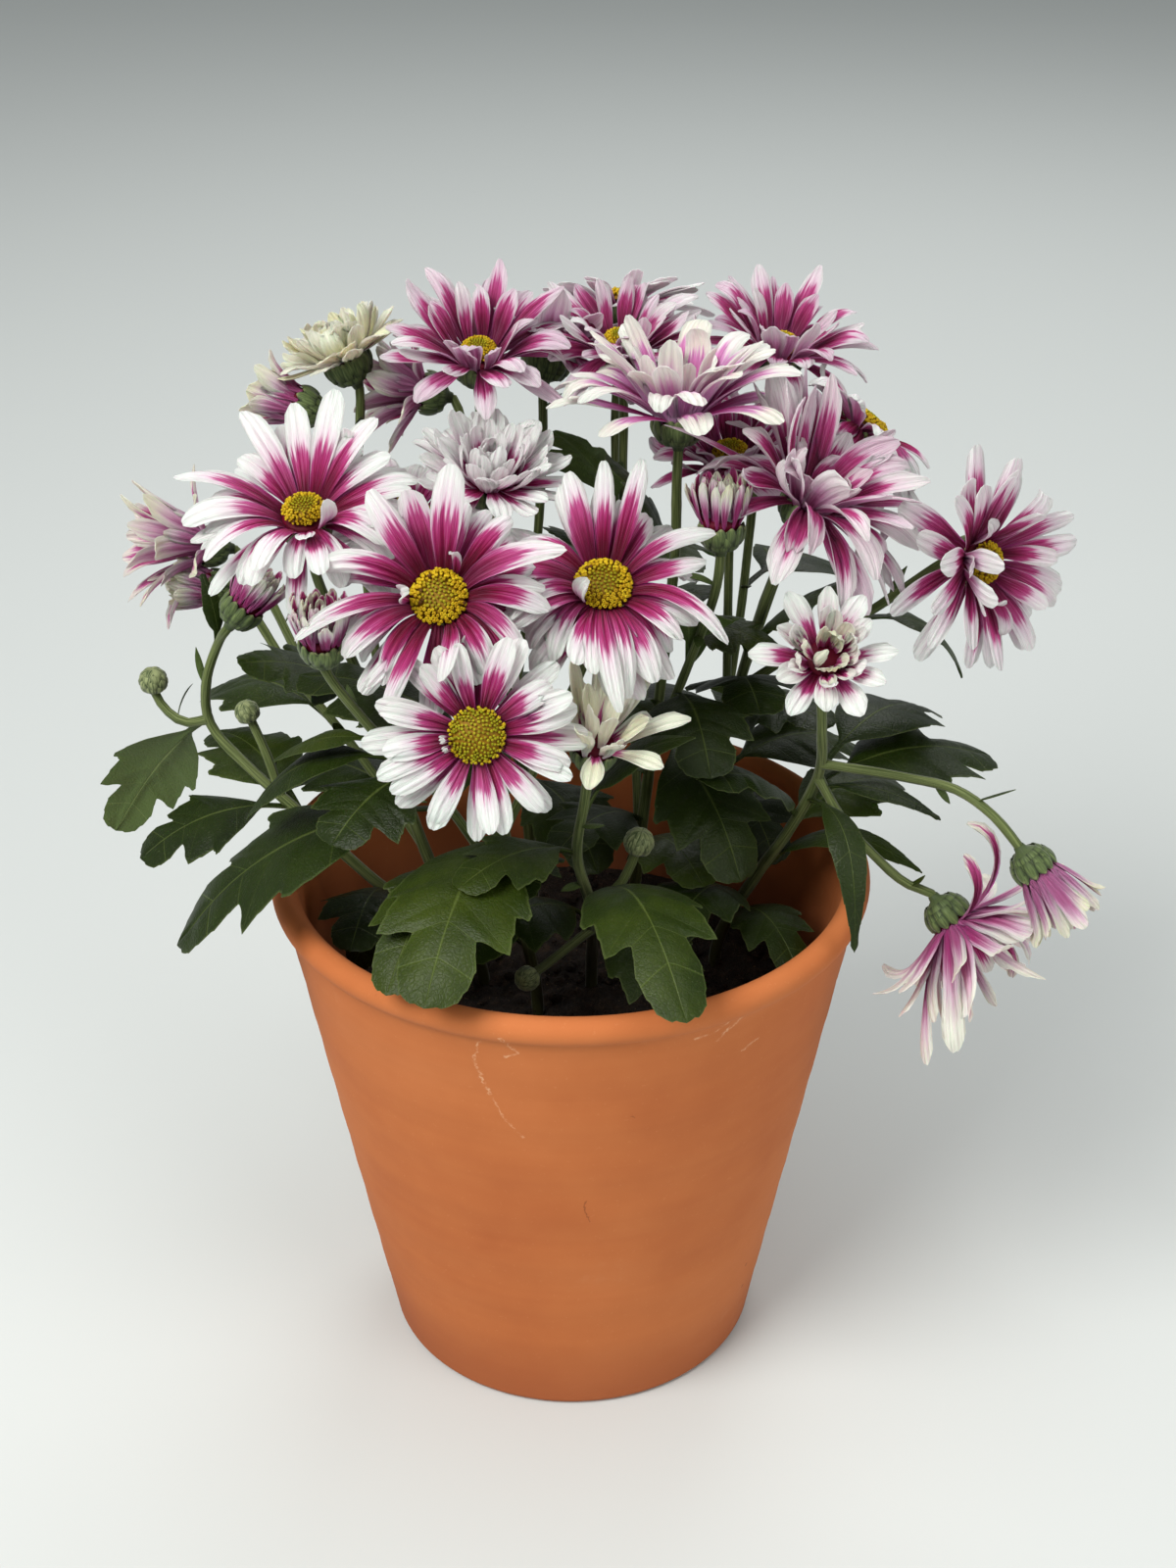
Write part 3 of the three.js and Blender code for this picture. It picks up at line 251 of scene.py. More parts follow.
# Sprays: stems, each with the head or the bud's radius at its end and its points, and leaves with their
# shape, foot, tip, width, arch and roll.
SPRAYS = {
    "left": ([
        (
            "bud_left", (-28, 4), (-58, 8, 146), (-80, 10, 169), (-94, 16, 180), (-105, 22, 191),
            (-105, 21, 205), (-100, 19, 219),
        ),
        (4.2, (-105, 22, 191), (-113, 25, 190), (-119, 28, 193), (-122, 30, 198), (-122, 30, 201)),
        (3.6, (-84, 12, 173), (-88, 14, 185), (-92, 16, 195), (-93, 16, 198)),
        (3.2, (-50, 7, 139), (-60, 7, 136), (-65, 7, 137), (-67, 6, 139)),
    ], [
        ("lobed", (-106, 22, 188), (-139, 34, 148), 27, 0.12, 60),
        ("lobed", (-46, 6, 136), (-64, -10, 128), 26, 0.2, 0),
        ("lobed", (-54, 8, 143), (-62, -30, 146), 28, 0.2, 0),
        ("lobed", (-82, 10, 170), (-124, -4, 161), 34, 0.14, 0),
        ("lobed", (-78, 10, 167), (-108, 50, 174), 32, 0.15, 0),
        ("narrow", (-100, 19, 218), (-104, 24, 238), 6, 0.1, 0),
    ]),
    "front": ([
        ("opening_front", (6, -2), (6, -22, 154), (2, -38, 183), (4, -46, 203)),
        (4.2, (6, -23, 156), (14, -26, 166), (18, -27, 176), (19, -27, 180)),
        (3.6, (6, -16, 145), (-8, -32, 142), (-12, -36, 141)),
    ], [
        ("lobed", (7, -24, 158), (30, -96, 168), 34, 0.24, 0),
        ("narrow", (4, -45, 200), (33, -44, 222), 15, 0.16, 0),
        ("lobed", (2, -38, 184), (-29, -64, 188), 27, 0.14, 0),
        ("lobed", (6, -20, 151), (-38, -44, 160), 34, 0.2, 0),
        ("lobed", (6, -14, 142), (34, -50, 134), 30, 0.24, 0),
    ]),
    "right": ([
        ("half_open_right", (44, 12), (55, 2, 153), (62, -6, 171), (69, -14, 194), (68, -24, 214)),
        ("nodding_side", (71, -16, 199), (91, -26, 200), (104, -35, 201), (113, -42, 197)),
        ("nodding_low", (69, -14, 193), (76, -19, 182), (84, -23, 174), (93, -27, 167)),
    ], [
        ("lobed", (69, -13, 191), (121, 12, 186), 40, 0.12, 0),
        ("lobed", (70, -13, 197), (106, 32, 190), 30, 0.16, 0),
        ("narrow", (67, -14, 189), (101, -30, 193), 9, 0.12, 0),
        ("narrow", (66, -13, 184), (77, -52, 160), 10, 0.4, 0),
        ("lobed", (64, -8, 178), (34, -32, 203), 34, 0.14, 0),
        ("narrow", (57, 2, 150), (99, -20, 166), 14, 0.25, 0),
        ("lobed", (60, -5, 166), (96, 22, 172), 32, 0.2, 0),
        ("lobed", (50, 7, 138), (26, -34, 146), 30, 0.24, 0),
        ("lobed", (47, 10, 130), (68, -34, 136), 26, 0.3, 0),
    ]),
    "centre": ([
        ("front_high", (-10, -14), (-14, -19, 150), (-20, -22, 190), (-28, -26, 225)),
        ("front_low", (-16, -20, 168), (-20, -32, 200)),
        ("centre", (-18, -21, 180), (-4, -20, 212), (4, -21, 232)),
        ("bud_front_left", (-14, -19, 152), (-34, -26, 192), (-52, -36, 220)),
    ], [
        ("lobed", (-18, -24, 184), (-37, -92, 176), 40, 0.16, 0),
        ("lobed", (-20, -22, 170), (-50, -88, 166), 32, 0.22, 0),
        ("lobed", (-34, -26, 190), (-108, -42, 156), 44, 0.16, 0),
        ("narrow", (-46, -32, 208), (-88, -32, 190), 18, 0.2, 0),
        ("lobed", (-38, -28, 208), (-62, -57, 197), 34, 0.12, 0),
        ("narrow", (-50, -34, 216), (-80, -28, 206), 12, 0.12, 0),
        ("lobed", (-24, -24, 206), (-74, -8, 222), 38, 0.14, 0),
        ("lobed", (-13, -18, 140), (-58, -36, 146), 32, 0.22, 0),
        ("lobed", (-15, -20, 166), (-14, -62, 178), 28, 0.2, 0),
    ]),
    "left_back": ([
        ("left_high", (-34, 18), (-44, 20, 150), (-54, 16, 190), (-63, 3, 228), (-68, -7, 252)),
        ("half_open_cream", (-52, 17, 180), (-58, 34, 220), (-61, 49, 258)),
        ("bud_left_low", (-44, 20, 152), (-66, 32, 180), (-84, 44, 198)),
        ("half_open_left", (-75, 38, 189), (-84, 52, 203), (-92, 59, 217)),
        ("bud_back_left", (-63, 41, 236), (-67, 49, 260)),
    ], [
        ("lobed", (-58, 12, 205), (-92, 0, 222), 38, 0.12, 0),
        ("lobed", (-48, 20, 165), (-86, 46, 160), 34, 0.2, 0),
        ("lobed", (-60, 30, 212), (-64, 80, 200), 36, 0.16, 0),
        ("lobed", (-70, 34, 185), (-112, 70, 178), 36, 0.16, 0),
    ]),
    "back": ([
        ("back_left", (-12, 36), (-14, 38, 160), (-19, 41, 210), (-23, 41, 255), (-25, 39, 278)),
        ("back_left_far", (-17, 40, 190), (-10, 50, 235), (-8, 57, 268)),
        ("half_open_white", (-14, 37, 152), (-16, 26, 200), (-18, 13, 240)),
        ("left_inner", (-14, 38, 168), (-30, 28, 205), (-41, 15, 235)),
        ("half_open_back", (-22, 41, 240), (-29, 52, 262)),
    ], [
        ("lobed", (-16, 39, 178), (-36, 94, 166), 40, 0.2, 0),
        ("lobed", (-13, 51, 222), (2, 97, 214), 34, 0.16, 0),
        ("lobed", (-20, 41, 220), (-50, 74, 238), 34, 0.14, 0),
        ("lobed", (-17, 30, 184), (-38, -2, 180), 26, 0.2, 0),
        ("lobed", (-14, 38, 164), (8, 2, 152), 32, 0.22, 0),
    ]),
    "top": ([
        ("top", (18, 18), (21, 17, 160), (26, 15, 210), (29, 12, 250), (29, 10, 272)),
        ("bud_right", (23, 16, 185), (33, 0, 222), (39, -10, 248)),
        ("back_centre", (21, 18, 152), (18, 34, 200), (15, 46, 255), (15, 49, 280)),
        ("far_centre", (18, 32, 195), (14, 56, 235), (13, 73, 268)),
    ], [
        ("lobed", (15, 45, 246), (-4, 34, 277), 24, 0.1, 30),
        ("lobed", (29, 12, 244), (10, 26, 273), 24, 0.1, 30),
        ("lobed", (15, 55, 228), (36, 98, 206), 36, 0.18, 0),
        ("lobed", (20, 24, 168), (26, 88, 170), 36, 0.2, 0),
        ("lobed", (30, 6, 210), (38, -34, 204), 32, 0.2, 0),
        ("lobed", (33, 0, 222), (30, -24, 248), 28, 0.2, 0),
        ("lobed", (22, 16, 180), (2, -14, 206), 28, 0.2, 0),
        ("narrow", (26, 15, 202), (3, -22, 192), 17, 0.12, 0),
        ("lobed", (25, 16, 192), (48, -22, 164), 36, 0.16, 0),
        ("lobed", (21, 17, 162), (-4, -12, 168), 30, 0.18, 0),
        ("lobed", (21, 17, 152), (38, -18, 146), 30, 0.22, 0),
        ("lobed", (29, 12, 226), (58, -14, 226), 30, 0.12, 0),
        ("lobed", (15, 42, 226), (-6, 26, 250), 28, 0.12, 0),
        ("lobed", (16, 40, 216), (40, 22, 232), 30, 0.14, 0),
    ]),
    "right_back": ([
        ("right_high", (34, 36), (42, 36, 160), (50, 28, 205), (54, 12, 234), (57, 3, 250)),
        ("right_inner", (46, 32, 182), (46, 43, 225), (46, 46, 252)),
        ("far_right", (42, 36, 164), (50, 50, 210), (54, 60, 250), (57, 64, 273)),
        ("back_right", (49, 29, 200), (60, 38, 232), (68, 41, 256)),
        ("right_side", (50, 29, 198), (66, 24, 214), (84, 14, 231)),
    ], [
        ("narrow", (82, 16, 228), (113, 22, 206), 17, 0.2, 0),
        ("lobed", (56, 22, 214), (76, 4, 246), 32, 0.12, 0),
        ("lobed", (54, 54, 220), (84, 90, 208), 36, 0.16, 0),
        ("lobed", (44, 40, 172), (72, 86, 166), 38, 0.2, 0),
        ("lobed", (43, 34, 166), (90, 56, 164), 36, 0.2, 0),
        ("lobed", (46, 30, 186), (52, -16, 214), 34, 0.22, 0),
        ("lobed", (47, 32, 182), (74, 12, 200), 30, 0.2, 0),
        ("lobed", (52, 26, 212), (38, -6, 243), 28, 0.14, 0),
        ("lobed", (42, 36, 164), (62, 2, 152), 34, 0.22, 0),
    ]),
}

# Half outlines of leaves: rib place, edge place, share of the half width.
LEAF_SHAPES = {
    "lobed": [
        (0, 0, 0), (0.15, 0.15, 0), (0.3, 0.35, 0.64), (0.42, 0.56, 1), (0.48, 0.58, 0.82),
        (0.55, 0.76, 0.88), (0.66, 0.73, 0.44), (0.8, 0.85, 0.52), (0.9, 0.97, 0.36), (1, 1, 0),
    ],
    "narrow": [
        (0, 0, 0), (0.14, 0.14, 0), (0.3, 0.32, 0.72), (0.5, 0.54, 1), (0.68, 0.76, 0.7),
        (0.84, 0.9, 0.34), (1, 1, 0),
    ],
}

# Side veins of a leaf and its teeth, in rows of its outline.
LEAF_VEINS = {"lobed": [2.2, 3.0, 5.0, 6.1, 7.2, 8.0], "narrow": [2.0, 2.7, 3.4, 4.2, 5.0]}
LEAF_TEETH = {"lobed": 2.0, "narrow": 1.6}

# How rays look: the form of the section and the end, the colours, and further rays: whole rings, and single
# ones with their bearing, root and tip angles, length, width, curl, twist and sag.
RAY_LOOK = dict(
    grid=(12, 9), width=0.82, width_spread=0.1, length_spread=0.06, taper=0.2, spoon=0.0, notch=0.012,
    blunt=0.11, groove=0.26, thickness=0.3, curl=-0.08, curl_spread=0.38, hooked=0.05, twist=0.14,
    roll=-0.1, roll_spread=0.4, tip_roll=-0.15, magenta=0.54, magenta_spread=0.1, tint=0.06, pale=0.0,
    mauve=0.0, mauve_spread=0.1, droop=0.3, sway=0.05, sag=0.08, florets=210, ripe_from=0.35, disc=1,
    extra=[ring(12, 0.25, 30, 10, 0.9, 0.95)],
    own=[],
)
KIND_LOOKS = {
    "droopy": dict(
        curl=0.1, curl_spread=0.7, hooked=0.18, magenta=0.62, width=0.88, width_spread=0.22,
        length_spread=0.16, groove=0.32, twist=0.45, roll=-0.4, tip_roll=-0.4, droop=0.85, sway=0.2,
        sag=0.85,
        extra=[ring(9, 0.25, 34, 12, 0.9, 0.95, wild=22), ring(9, 0.6, -4, -30, 1.0, 1.0, wild=16)],
    ),
    "shaggy": dict(
        curl=0.1, curl_spread=0.6, hooked=0.2, twist=0.6, magenta=0.54, magenta_spread=0.15, width=0.85,
        width_spread=0.2, length_spread=0.15, roll=0.3, roll_spread=0.6, tip_roll=0.3, taper=0.4,
        blunt=0.2, mauve=0.4, mauve_spread=0.3, tint=0.12, groove=0.32, droop=0.3, sway=0.16, sag=0.3,
        extra=[
            ring(12, 0.25, 34, 10, 0.94, 0.95, wild=34), ring(9, 0.6, 60, 52, 0.88, 0.95, wild=24),
            ring(5, 0.1, 72, 84, 0.5, 0.85, wild=20),
        ],
    ),
    "cup": dict(
        magenta=0.66, magenta_spread=0.16, mauve=0.5, hooked=0.16, taper=0.35, width=0.8, blunt=0.18,
        curl_spread=0.7, sway=0.1, twist=0.4, disc=0.8, sag=0.15, mauve_spread=0.3,
        extra=[ring(11, 0.3, 34, 20, 0.95, 0.95), ring(10, 0.1, 66, 60, 0.74, 0.8)],
    ),
    "bowl": dict(
        magenta=0.62, tint=0.32, pale=0.7, curl=-0.3, curl_spread=0.5, hooked=0.12, mauve_spread=0.04,
        width=0.98, disc=0.8, droop=0.3, sag=0.15, sway=0.1,
        extra=[
            ring(13, 0.3, 46, 22, 0.98, 0.95), ring(11, 0.1, 66, 52, 0.84, 0.9),
            ring(6, 0.5, 78, 76, 0.6, 0.75),
        ],
    ),
    "dense": dict(
        magenta=0.5, magenta_spread=0.16, blunt=0.16, roll=0.4, tint=0.03, curl=0.1, curl_spread=0.7,
        width=0.95, droop=0.1, mauve_spread=0.0, sag=0,
        extra=[
            ring(12, 0.2, 24, 22, 1.0, 0.78), ring(14, 0.2, 44, 60, 0.92, 0.75, radius=0.8),
            ring(12, 0.4, 62, 84, 0.8, 0.62, radius=0.6), ring(9, 0.4, 78, 100, 0.66, 0.55, radius=0.35),
        ],
    ),
    "opening": dict(
        magenta=0.46, blunt=0.2, roll=0.5, width=0.98, taper=0.32, droop=0.1, tint=0.12,
        mauve_spread=0.02, length_spread=0.14,
        extra=[
            ring(6, 0.5, 42, 38, 0.95, 0.8, radius=0.9, wild=18),
            ring(
                9, 0.2, 56, 66, 0.74, 0.66, radius=0.85, wild=26, stray=0.4, curl=0.5, curl_spread=0.6,
                tint=0.5, magenta=0.42, roll=0.8, length_spread=0.3,
            ),
            ring(
                9, 0.4, 70, 78, 0.72, 0.56, radius=0.5, wild=34, stray=0.5, curl=0.6, curl_spread=0.9,
                tint=0.9, magenta=0.34, roll=0.7, length_spread=0.5,
            ),
        ],
    ),
    "bundle": dict(
        magenta=0.84, magenta_spread=0.16, blunt=0.2, roll=0.6, tint=0.95, curl=0.35, curl_spread=0.2,
        width=0.95, mauve=0.0, hooked=0, twist=0.08, droop=0, sway=0.03, sag=0,
        extra=[
            ring(12, 0.3, 70, 82, 1, 0.4, radius=0.95, wild=4),
            ring(9, 0.3, 80, 90, 1, 0.4, radius=0.65, wild=4),
            ring(5, 0.3, 86, 92, 0.96, 0.4, radius=0.3, wild=4),
        ],
    ),
    "nodding": dict(
        magenta=0.76, magenta_spread=0.14, tint=0.55, curl=-0.1, curl_spread=0.9, droop=0.2, hooked=0.25,
        blunt=0.13, width=1.02, width_spread=0.2, taper=0.05, spoon=0.3, twist=0.6, roll=0.6,
        roll_spread=0.4, tip_roll=-0.5, sway=0.16, sag=0.45, mauve=0.1, length_spread=0.3,
        extra=[ring(11, 0.2, 34, 30, 0.84, 0.95, wild=34), ring(8, 0.5, 56, 70, 0.8, 0.7, wild=20)],
    ),
}
HEAD_LOOKS = {
    "half_open_cream": dict(magenta=0.12, tint=0.9),
    "half_open_white": dict(magenta=0.42, magenta_spread=0.12, hooked=0.0),
    "half_open_left": dict(
        magenta=0.74, mauve=0.3, tint=0.7, pale=0.2, sag=0.2, width=1.1, curl=-0.4,
        extra=[
            ring(7, 0.2, 62, 54, 1.2, 0.95, radius=0.8, wild=18),
            ring(5, 0.6, 78, 72, 1.24, 0.9, radius=0.5, wild=16),
        ],
    ),
    "half_open_back": dict(
        magenta=0.8, mauve=0.35, tint=0.6, width=1.1, curl=-0.3,
        extra=[
            ring(7, 0.2, 60, 52, 1.1, 0.95, radius=0.8, wild=16),
            ring(5, 0.6, 78, 74, 1.15, 0.9, radius=0.5, wild=14),
        ],
    ),
    "opening_front": dict(
        magenta=0.2, tint=0.75,
        extra=[
            ring(6, 0.4, 64, 60, 1.0, 0.85, radius=0.8, wild=16),
            ring(4, 0.1, 80, 82, 0.9, 0.7, radius=0.4, wild=12),
        ],
        own=[
            (104, 70, 64, 24, 6, 0.2, 0.2, 0), (62, 64, 56, 25, 6, -0.2, 0.3, 0),
            (20, 56, 44, 25, 6, -0.3, 0.2, 0.1), (146, 60, 50, 22, 6, 0.2, -0.3, 0),
            (330, 48, 34, 24, 6, -0.3, 0.2, 0.2),
        ],
    ),
    "bud_back_left": dict(
        magenta=0.72, width=1.5, curl=-0.3, curl_spread=0.4, mauve=0.2,
        extra=[ring(8, 0.3, 74, 66, 1.15, 0.55, radius=0.8, wild=16)],
    ),
    "bud_left_low": dict(magenta=0.6, width=1.3, curl=0.0, mauve=0.4),
    "nodding_side": dict(
        magenta=0.8, mauve=0.4, tint=0.9, width=1.35, curl=-0.5, curl_spread=0.5, roll=0.5, tip_roll=-0.7,
        sag=0.3, taper=0.0, spoon=0.2, length_spread=0.25, twist=0.4,
    ),
    "nodding_low": dict(
        own=[
            (80, -5, -75, 38, 4.6, -1.3, 0.4, 0), (112, -5, -60, 34, 4.6, -1.6, -0.4, 0),
            (190, 10, 20, 31, 6.0, -0.5, 0.3, 0), (215, 35, 50, 41, 6.4, 0.2, 0.2, 0.6),
            (200, 30, 40, 34, 6.4, 0.5, 0.4, 0.6), (100, 20, 30, 28, 9, -0.6, 0.6, 0.3),
            (60, 30, 40, 34, 8, -0.7, 0.5, 0.5), (20, 30, 40, 33, 7, -0.6, 0.3, 0.6),
            (150, 30, 36, 30, 8.5, -0.3, 0.7, 0.5), (170, 34, 44, 33, 7.5, 0.4, -0.5, 0.6),
        ],
    ),
    "left_high": dict(
        magenta=0.54, disc=0.74, droop=0.45, sag=0.4, width_spread=0.16, length_spread=0.1,
        extra=[
            ring(11, 0.25, 36, 14, 0.93, 0.98, wild=16), ring(10, 0.5, 2, -14, 1.0, 1.0, arc=(-10, 190)),
        ],
        own=[
            (318, 52, 70, 15, 6.0, 0.8, -0.4, 0), (282, 42, 40, 18, 6.5, 0.1, 0.3, 0.1),
            (255, 56, 0, 28, 7.0, -0.5, 0.2, 0.2), (330, 56, -4, 31, 7.0, -0.5, 0.3, 0.25),
            (76, 50, 20, 30, 8.8, 0.0, 0.2, 0), (99, 48, 22, 29, 8.2, 0.1, -0.2, 0),
            (124, 50, 12, 32, 8.4, -0.1, 0.3, 0), (56, 50, 12, 31, 8.0, -0.2, -0.2, 0),
            (170, 50, -6, 32, 8.4, -0.2, 0.3, 0.2), (196, 52, -10, 31, 8.2, -0.3, -0.3, 0.3),
            (224, 54, -10, 31, 7.8, -0.4, 0.3, 0.3),
        ],
    ),
    "right_side": dict(
        magenta=0.62, mauve=0.2, disc=0.75, sway=0.1, curl_spread=0.6, sag=0.3,
        extra=[ring(10, 0.25, 40, 22, 0.95, 0.95), ring(7, 0.1, 60, 52, 0.7, 0.85)],
        own=[
            (154, 62, 66, 25, 8, 0.5, 0.3, 0), (192, 58, 62, 23, 8, 0.6, -0.2, 0),
            (240, 56, 74, 14, 6, 1.2, 0.3, 0), (128, 40, 24, 33, 7.5, -0.3, 0.4, 0),
            (96, 42, 40, 30, 7, 0.2, -0.3, 0),
        ],
    ),
    "right_high": dict(
        disc=0.8, mauve=0.55, magenta=0.64, width=1.0,
        own=[
            (96, 12, 2, 40, 6.5, -0.2, 0.5, 0), (80, 62, 52, 34, 9, 0.1, 0.3, 0),
            (62, 50, 44, 34, 8, 0.2, -0.4, 0), (40, 56, 50, 36, 6.5, 0.3, 0.6, 0),
            (20, 60, 56, 36, 6.5, -0.3, 0.4, 0), (332, 50, 40, 36, 5, -0.8, 0.7, 0),
            (300, 30, 24, 34, 6.5, -0.4, -0.4, 0.3), (285, 24, 10, 34, 6, -0.3, 0.3, 0.7),
            (262, 12, -6, 36, 6, -0.2, 0.3, 1.1), (248, 10, -10, 34, 6, -0.4, -0.3, 1.2),
            (222, 2, -20, 36, 8.5, -0.4, 0.4, 0.7), (180, 20, -30, 22, 7, -0.6, 0.2, 0.5),
            (134, 56, 80, 16, 6.5, 1.0, 0.2, 0), (300, 64, 90, 12, 6, 1.2, 0.2, 0),
        ],
    ),
    "front_low": dict(
        magenta=0.48, ripe_from=0.82, width=0.8, roll=0.2, tip_roll=0.1, blunt=0.13,
        own=[(186, 50, 70, 8.5, 2.6, 1.6, 0.2, 0), (204, 52, 60, 8, 2.4, 1.9, 0.2, 0)],
    ),
    "top": dict(magenta=0.64, mauve_spread=0.0, pale=0.85, tint=0.4),
    "centre": dict(
        magenta=0.55, magenta_spread=0.14, blunt=0.15, width=0.92,
        own=[
            (214, 62, 88, 13, 5.0, 1.4, 0.3, 0), (186, 60, -8, 27, 7.2, -0.7, 0.3, 0.7),
            (262, 50, -16, 35, 6.2, -0.3, 0.1, 0.6), (282, 46, -20, 35, 6.6, -0.3, -0.3, 0.7),
            (344, 52, -8, 35, 7.2, -0.3, 0.2, 0.8), (204, 58, -12, 31, 7.2, -0.5, 0.4, 0.9),
            (112, 58, 18, 30, 7.5, -0.2, 0.2, 0.1), (88, 54, 20, 29, 8, -0.2, -0.2, 0),
            (62, 56, 14, 31, 7.8, -0.3, 0.3, 0.1), (30, 54, 6, 28, 7.6, -0.2, 0.2, 0.3),
        ],
    ),
    "front_high": dict(
        magenta=0.68,
        extra=[
            ring(10, 0.25, 34, 12, 0.9, 0.95, wild=22, arc=(-80, 150)),
            ring(10, 0.6, -4, -30, 1.0, 1.0, wild=16, arc=(-60, 140)),
        ],
        own=[
            (186, 60, 88, 14, 5.6, 1.4, 0.2, 0), (58, 62, 84, 15, 3.6, 0.8, 0.6, 0),
            (190, 60, 2, 40, 6.6, -0.2, 0.2, 0.9), (208, 62, 0, 32, 7.2, -0.5, 0.2, 1.0),
            (228, 56, -8, 28, 7.4, -0.8, 0.2, 0.8), (158, 66, 6, 32, 8.8, -0.5, -0.4, 0.7),
            (130, 66, 20, 34, 8.2, -0.3, 0.7, 0.2), (2, 56, 2, 33, 6.8, 0.0, 0.1, 1.1),
            (344, 60, -8, 29, 7.2, -1.0, 0.3, 0.9), (318, 58, -16, 27, 7.2, -1.1, 0.4, 0.7),
            (298, 50, -16, 25, 7.0, -1.2, -0.2, 0.5), (84, 62, 26, 37, 10.5, -0.1, 0.1, 0.0),
            (30, 58, 12, 33, 8.8, -0.3, -0.2, 0.3), (248, 46, -12, 34, 7.2, -0.2, 0.3, 0.7),
        ],
    ),
}


# -------------------------------------------------------------------------------- shapes


def unit(vectors):
    return vectors / np.linalg.norm(vectors, axis=-1, keepdims=True)


def turned(points, axis, angle):
    """Points turned about an axis through the origin, by one angle or by one angle a point."""
    angle = np.asarray(angle)[..., None]
    along = np.sum(points * axis, axis=-1, keepdims=True) * axis
    return points * np.cos(angle) + np.cross(axis, points) * np.sin(angle) + along * (1 - np.cos(angle))


def smooth_step(value, low, high):
    share = np.clip((value - low) / (high - low), 0, 1)
    return share * share * (3 - 2 * share)


def bump_at(value, centre, width):
    return np.exp(-(((value - centre) / width) ** 2))


def level(azimuth):
    """The level direction at an angle round the upright axis."""
    return np.array([math.cos(azimuth), math.sin(azimuth), 0])


def beside(direction):
    """A level direction turned left."""
    return np.array([-direction[1], direction[0], 0])


def circle(sides):
    return np.linspace(0, 2 * math.pi, sides, endpoint=False)


def revolved(radii, heights, angles):
    """A profile turned about the upright axis: a grid with a row for each point of the profile."""
    radii, heights = (np.asarray(v, float).reshape(-1, 1) for v in (radii, heights))
    return np.stack((radii * np.cos(angles), radii * np.sin(angles), heights + 0 * angles), axis=-1)


def hermite(a, b, start, end, w):
    """The point at share w of a curve from a to b, with the given slopes at its ends."""
    return a + start * w + (3 * (b - a) - 2 * start - end) * w**2 + (2 * (a - b) + start + end) * w**3


class Draw:
    """The part's own repeatable source of numbers from 0 to 1."""

    def __init__(self, seed):
        self.state = seed

    def value(self):
        mask = 0xFFFFFFFF
        self.state = (self.state + 0x6D2B79F5) & mask
        t = ((self.state ^ (self.state >> 15)) * (1 | self.state)) & mask
        t ^= (t + (((t ^ (t >> 7)) * (61 | t)) & mask)) & mask
        return ((t ^ (t >> 14)) & mask) / 4294967296

    def spread(self, reach):
        return (self.value() * 2 - 1) * reach


class Path:
    """A centripetal Catmull-Rom curve through points, with places on it measured by length."""

    def __init__(self, points):
        self.points = np.array(points, float)
        self.params = np.linspace(0, 1, 201)
        steps = np.diff([self.at(t) for t in self.params], axis=0)
        self.lengths = np.concatenate(([0], np.cumsum(np.linalg.norm(steps, axis=1))))

    def at(self, share):
        p = self.points
        last = len(p) - 1
        place = share * last
        i = min(int(place), last - 1)
        before = p[i - 1] if i > 0 else 2 * p[0] - p[1]
        after = p[i + 2] if i + 2 <= last else 2 * p[last] - p[last - 1]
        a, b = p[i], p[i + 1]
        d0, d1, d2 = (math.sqrt(np.linalg.norm(v)) for v in (a - before, b - a, after - b))
        start = ((a - before) / d0 - (b - before) / (d0 + d1) + (b - a) / d1) * d1
        end = ((b - a) / d1 - (after - a) / (d1 + d2) + (after - b) / d2) * d1
        return hermite(a, b, start, end, place - i)

    def spaced(self, count):
        places = np.linspace(0, self.lengths[-1], count + 1)
        return np.array([self.at(t) for t in np.interp(places, self.lengths, self.params)])


def nearest_on(lines, point):
    """The nearest point to a given one on polylines."""
    best = None
    for line in lines:
        starts, steps = line[:-1], np.diff(line, axis=0)
        share = np.clip(np.sum((point - starts) * steps, axis=1) / np.sum(steps**2, axis=1), 0, 1)
        near = starts + steps * share[:, None]
        found = near[np.argmin(np.linalg.norm(near - point, axis=1))]
        if best is None or np.linalg.norm(found - point) < np.linalg.norm(best - point):
            best = found
    return best


def mixes(pitches, yaws, sizes):
    """Every mix of turns and sizes, the mildest first."""
    every = [(pitch, yaw, size) for size in sizes for pitch in pitches for yaw in yaws]
    return sorted(every, key=lambda mix: abs(mix[0]) + abs(mix[1]) + SHRINKING_COST * (1 - mix[2]))


def vertex_tree(node_name):
    """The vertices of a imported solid, to be searched by place."""
    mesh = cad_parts[node_name].data
    tree = KDTree(len(mesh.vertices))
    for i, vertex in enumerate(mesh.vertices):
        tree.insert(vertex.co / MM, i)
    tree.balance()
    return tree


def uv_grid(across, along):
    return np.stack(np.broadcast_arrays(across[None, :], along[:, None]), axis=-1)


def even_uv(points, end=1.0):
    rows, cols = points.shape[:2]
    return uv_grid(np.linspace(0, 1, cols), np.linspace(0, end, rows))


